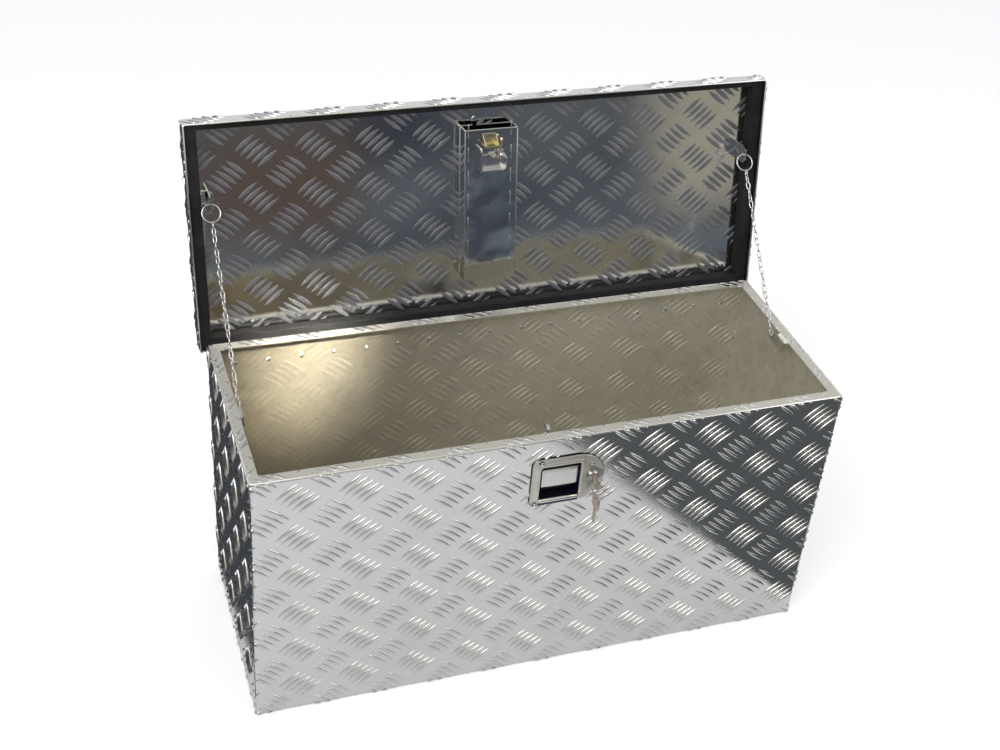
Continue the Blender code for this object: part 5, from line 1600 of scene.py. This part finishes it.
@dataclass
class WeldBeads(Part):
    """The small rippled welds at the rim's corners and down the inner corners of the box."""

    ripple: float = 0.0016
    spacing: float = 0.0013
    uneven: float = 0.18
    rhythm: float = 5.1
    levels: tuple[Pair, ...] = ((0.03, 0.055), (0.15, 0.175), (0.27, 0.295), (0.352, 0.372))
    rim_ripple: float = 0.0013
    rim_inset: float = 0.0125
    rim_drop: float = 0.0012
    rim_run: float = 0.004

    def bead(self, mesh: BMesh, start: Vector, end: Vector, size: float) -> None:
        """Lays overlapping ripples along a seam.

        Args:
            mesh: The bmesh that takes them.
            start: Where the weld starts.
            end: Where it ends.
            size: Half its width.
        """
        run = end - start
        count = max(2, int(run.length / self.spacing))
        for index in range(count):
            verts = sphere(mesh, sides=8, rings=5, radius=size)
            swell = 1.0 + self.uneven * math.sin(self.rhythm * index)
            bmesh.ops.scale(mesh, verts=verts, vec=(swell, swell, swell))
            bmesh.ops.translate(mesh, verts=verts, vec=start + run * (index / (count - 1)))

    def build(self) -> None:
        """Makes all the welds as one piece."""
        mesh = bmesh.new()
        in_x, in_y = BODY_WIDTH / 2 - SHEET, BODY_DEPTH / 2 - SHEET
        for side_x, side_y in ((-1, -1), (-1, 1), (1, -1), (1, 1)):
            corner = Vector((side_x * in_x, side_y * in_y, 0.0))
            for low, high in self.levels:
                self.bead(mesh, corner + Z * low, corner + Z * high, self.ripple)
            x, y = side_x * (in_x - self.rim_inset), side_y * (in_y - self.rim_inset)
            start = Vector((x, y, BODY_HEIGHT - self.rim_drop))
            self.bead(mesh, start, start - X * (side_x * self.rim_run), self.rim_ripple)
        self.piece("weld_beads", mesh, WELD, "box", "tread")


@dataclass
class HingeDetails(Part):
    """The hinge's smooth knuckles."""

    end: float = 0.3765
    count: int = 25
    gap: float = 0.0006
    radius: float = 0.00296
    bore: float = 0.0014
    edge: float = 0.0003

    def build(self) -> None:
        """Makes each leaf's knuckles."""
        length = (2 * self.end - self.gap * (self.count - 1)) / self.count
        bore, wide, edge = self.bore, self.radius, self.edge
        profile = [(bore, 0.0), (wide - edge, 0.0), (wide, edge), (wide, length - edge)]
        profile += [(wide - edge, length), (bore, length), (bore, 0.0)]
        for own, body in enumerate(("box", "lid")):
            mesh = bmesh.new()
            for index in range(own, self.count, 2):
                start = Vector((index * (length + self.gap) - self.end, LID_PIN.y, LID_PIN.z))
                verts = turned(mesh, profile, steps=16)
                bmesh.ops.transform(mesh, matrix=Matrix.Translation(start) @ QUARTER["Y"], verts=verts)
            made = self.piece(f"hinge_knuckles_{body}", mesh, PLAIN, body, "plain")
            made.modifiers.new("flat_faces_stay_flat", "WEIGHTED_NORMAL")


@dataclass(frozen=True)
class Studio:
    """The floor, the pale surroundings, the dark cards that the metal mirrors, the lamps and the camera."""

    eye: Point = (-0.5906, -1.4345, 1.4879)
    ahead: Point = (0.29348181, 0.75724225, -0.58348316)
    right: Point = (0.94738534, -0.31197633, 0.07163654)
    lens: float = 53.596
    floor_half: float = 8.0
    floor_drop: float = 0.0004
    floor_seen: Colour = (0.93, 0.93, 0.93)
    floor_mirrored: Colour = (0.66, 0.66, 0.67)
    floor_glow: float = 0.17
    lighting: float = 0.75
    lift: float = 0.0015
    wall: float = -3.4

    def floor_surface(self) -> bpy.types.Material:
        """White matt paper: white to the camera, greyer in what mirrors it.

        Returns:
            Its material.
        """
        made, graph = surface("pale_floor")
        seen = graph.node("LightPath").outputs["Is Camera Ray"]
        matt = graph.node("BsdfDiffuse", Color=graph.mix(seen, self.floor_mirrored, self.floor_seen))
        power = graph.maths("MULTIPLY", seen, self.floor_glow)
        glow = graph.node("Emission", Color=WHITE, Strength=power)
        both = graph.node("AddShader")
        graph.give(matt.outputs[0], both.inputs[0])
        graph.give(glow.outputs[0], both.inputs[1])
        graph.end(both.outputs[0])
        return made

    def sheet(self, name: str, corners: list[Point], material: bpy.types.Material) -> bpy.types.Object:
        """A flat stage sheet through its corners.

        Args:
            name: The sheet's name.
            corners: Its corners in order.
            material: Its finish.

        Returns:
            The sheet.
        """
        mesh = bmesh.new()
        mesh.faces.new([mesh.verts.new(c) for c in corners])
        data = bpy.data.meshes.new(name)
        mesh.to_mesh(data)
        mesh.free()
        data.materials.append(material)
        made = bpy.data.objects.new(name, data)
        bpy.context.scene.collection.objects.link(made)
        return made

    def card(
        self,
        name: str,
        corners: list[Point],
        colour: Colour,
        other: Colour | None = None,
        patches: float = 1.6,
    ) -> None:
        """A card that only mirrors show.

        Args:
            name: The card's name.
            corners: Its corners in order.
            colour: The colour that it shows.
            other: A second colour in soft patches, or None for one colour.
            patches: How many patches there are to a metre.
        """
        material, graph = surface(name)
        shade: object = (*colour, 1.0)
        if other:
            noise = graph.noise(graph.node("TexCoord").outputs["Object"], patches, Detail=2.0)
            shade = graph.mix(graph.remap(noise, 0.42, 0.58), colour, other)
        graph.end(graph.node("Emission", Color=shade, Strength=1.0).outputs[0])
        made = self.sheet(name, corners, material)
        for ray in ("camera", "diffuse", "shadow", "transmission", "volume_scatter"):
            setattr(made, f"visible_{ray}", False)

    def on_floor(self, layer: int, *places: Pair) -> list[Point]:
        """The corners of a card that lies just above the floor, on a layer counted from 1."""
        return [(x, y, self.lift * layer) for x, y in places]

    def on_wall(self, ahead: float, left: float, low: float, right: float, high: float) -> list[Point]:
        """The corners of an upright card in front of the box, ahead of the far wall."""
        y = self.wall + ahead
        return [(left, y, low), (right, y, low), (right, y, high), (left, y, high)]

    def cards(self) -> None:
        """The dim and the warm surroundings that the bright sheet mirrors."""
        floor = self.on_floor(1, (0.393, -0.171), (0.18, -0.634), (0.05, -1.1), (2.6, -1.1), (2.6, -0.171))
        self.card("slate_card_right", floor, (0.088, 0.095, 0.10))
        near = (-0.386, 0.10), (-0.40, -0.12), (-0.6, -0.5)
        floor = self.on_floor(1, *near, (-2.4, -0.9), (-2.4, 2.2), (-0.386, 2.2))
        self.card("slate_card_left", floor, (0.05, 0.055, 0.062))
        floor = self.on_floor(2, (-3.0, -1.15), (4.0, -1.15), (4.0, -3.4), (-3.0, -3.4))
        self.card("dim_floor_front", floor, (0.052, 0.060, 0.074), (0.135, 0.158, 0.178))
        wall = self.on_wall(0.0, -3.0, 0.0, 4.0, 0.95)
        self.card("dim_wall_front", wall, (0.035, 0.04, 0.055), (0.10, 0.11, 0.12), patches=0.9)
        wall = self.on_wall(0.0, -3.0, 0.95, 0.4, 4.8)
        self.card("warm_wall_left", wall, (1.0, 0.90, 0.66), (0.62, 0.56, 0.42), patches=0.7)
        wall = self.on_wall(0.0, 0.4, 0.95, 4.0, 4.8)
        self.card("grey_wall_right", wall, (0.42, 0.40, 0.36), (0.62, 0.58, 0.50), patches=0.7)
        wall = [(-2.6, y, z) for y, z in ((-1.2, 0.0), (3.0, 0.0), (3.0, 1.7), (-1.2, 1.7))]
        self.card("dim_wall_left", wall, (0.13, 0.135, 0.14), (0.30, 0.30, 0.30))
        brown = (0.10, 0.075, 0.062)
        floor = self.on_floor(3, (-0.1, -2.2), (0.35, -2.2), (0.65, -3.4), (0.05, -3.4))
        self.card("brown_patch_floor", floor, brown)
        self.card("brown_patch_wall", self.on_wall(0.01, 0.05, 0.0, 0.65, 0.2), brown)
        pale = (0.34, 0.32, 0.26)
        floor = self.on_floor(3, (1.3, -2.1), (1.9, -2.1), (2.6, -3.4), (1.85, -3.4))
        self.card("pale_patch_floor", floor, pale)
        self.card("pale_patch_wall", self.on_wall(0.01, 1.85, 0.0, 2.6, 0.4), pale)

    def surroundings(self) -> None:
        """A white world that is a little dimmer as light than the camera sees it."""
        world = bpy.data.worlds.new("pale_studio")
        world.use_nodes = True
        bpy.context.scene.world = world
        graph = Graph(world.node_tree)
        ray = graph.node("LightPath")
        seen = graph.maths("MAXIMUM", ray.outputs["Is Camera Ray"], ray.outputs["Is Transmission Ray"])
        mixed = graph.node("MixShader", Fac=seen)
        for place, strength in enumerate((self.lighting, 1.0), 1):
            shown = graph.node("Background", Color=WHITE, Strength=strength).outputs[0]
            graph.give(shown, mixed.inputs[place])
        graph.end(mixed.outputs[0], "OutputWorld")

    def lamp(self, name: str, place: Point, aim: Point, size: float, power: float) -> bpy.types.AreaLight:
        """A soft square lamp.

        Args:
            name: The lamp's name.
            place: Where it stands.
            aim: The point that it faces.
            size: Its side.
            power: Its power in watts.

        Returns:
            Its light, white and shining all round.
        """
        data = bpy.data.lights.new(name, "AREA")
        data.spread = math.pi
        data.size = size
        data.energy = power
        made = bpy.data.objects.new(name, data)
        made.location = place
        made.rotation_euler = (Vector(aim) - Vector(place)).to_track_quat("-Z", "Y").to_euler()
        bpy.context.scene.collection.objects.link(made)
        return data

    def camera(self) -> None:
        """Puts the camera where the photograph's stood."""
        data = bpy.data.cameras.new("photo_view")
        data.lens = self.lens
        data.sensor_width = 36.0
        data.clip_end = 50.0
        made = bpy.data.objects.new("photo_view", data)
        right, ahead = Vector(self.right), Vector(self.ahead)
        turn = Matrix((right, right.cross(ahead), -ahead)).transposed()
        made.matrix_world = Matrix.Translation(self.eye) @ turn.to_4x4()
        bpy.context.scene.collection.objects.link(made)
        bpy.context.scene.camera = made

    def build(self) -> None:
        """Sets up the studio and the camera."""
        bpy.context.scene.view_settings.view_transform = "Standard"
        self.surroundings()
        half, level = self.floor_half, -self.floor_drop
        corners = [(-half, -half, level), (half, -half, level), (half, half, level), (-half, half, level)]
        self.sheet("floor", corners, self.floor_surface())
        self.cards()
        middle = (0.0, 0.0, 0.3)
        self.lamp("key_softbox", (-1.6, -1.2, 2.6), middle, size=1.6, power=34.0)
        self.lamp("fill_softbox", (2.2, -0.8, 1.8), middle, size=1.4, power=12.0)
        aim = (-0.255, 0.14, 0.350)
        pool = self.lamp("warm_pool_back", (-0.05, -0.55, 1.15), aim, size=0.08, power=0.46)
        pool.color = (1.0, 0.93, 0.76)
        pool.spread = math.radians(11.0)
        self.camera()
        log.info("studio: camera, floor and cards")


def main() -> None:
    """Builds the studio and dresses the box."""
    logging.basicConfig(level=logging.INFO, format="%(name)s %(message)s")
    finishes = Finishes()
    Studio().build()
    CarriedSolids(finishes).build()
    TreadSheets(finishes).build()
    for side, across in (("left", -CHAIN_ACROSS), ("right", CHAIN_ACROSS)):
        StayChain(finishes, side, across).build()
    for part in (LatchPlate, Paddle, Lock, LidSeal, ChannelDetails, SheetEdges, WeldBeads, HingeDetails):
        part(finishes).build()


if __name__ == "__main__":
    main()
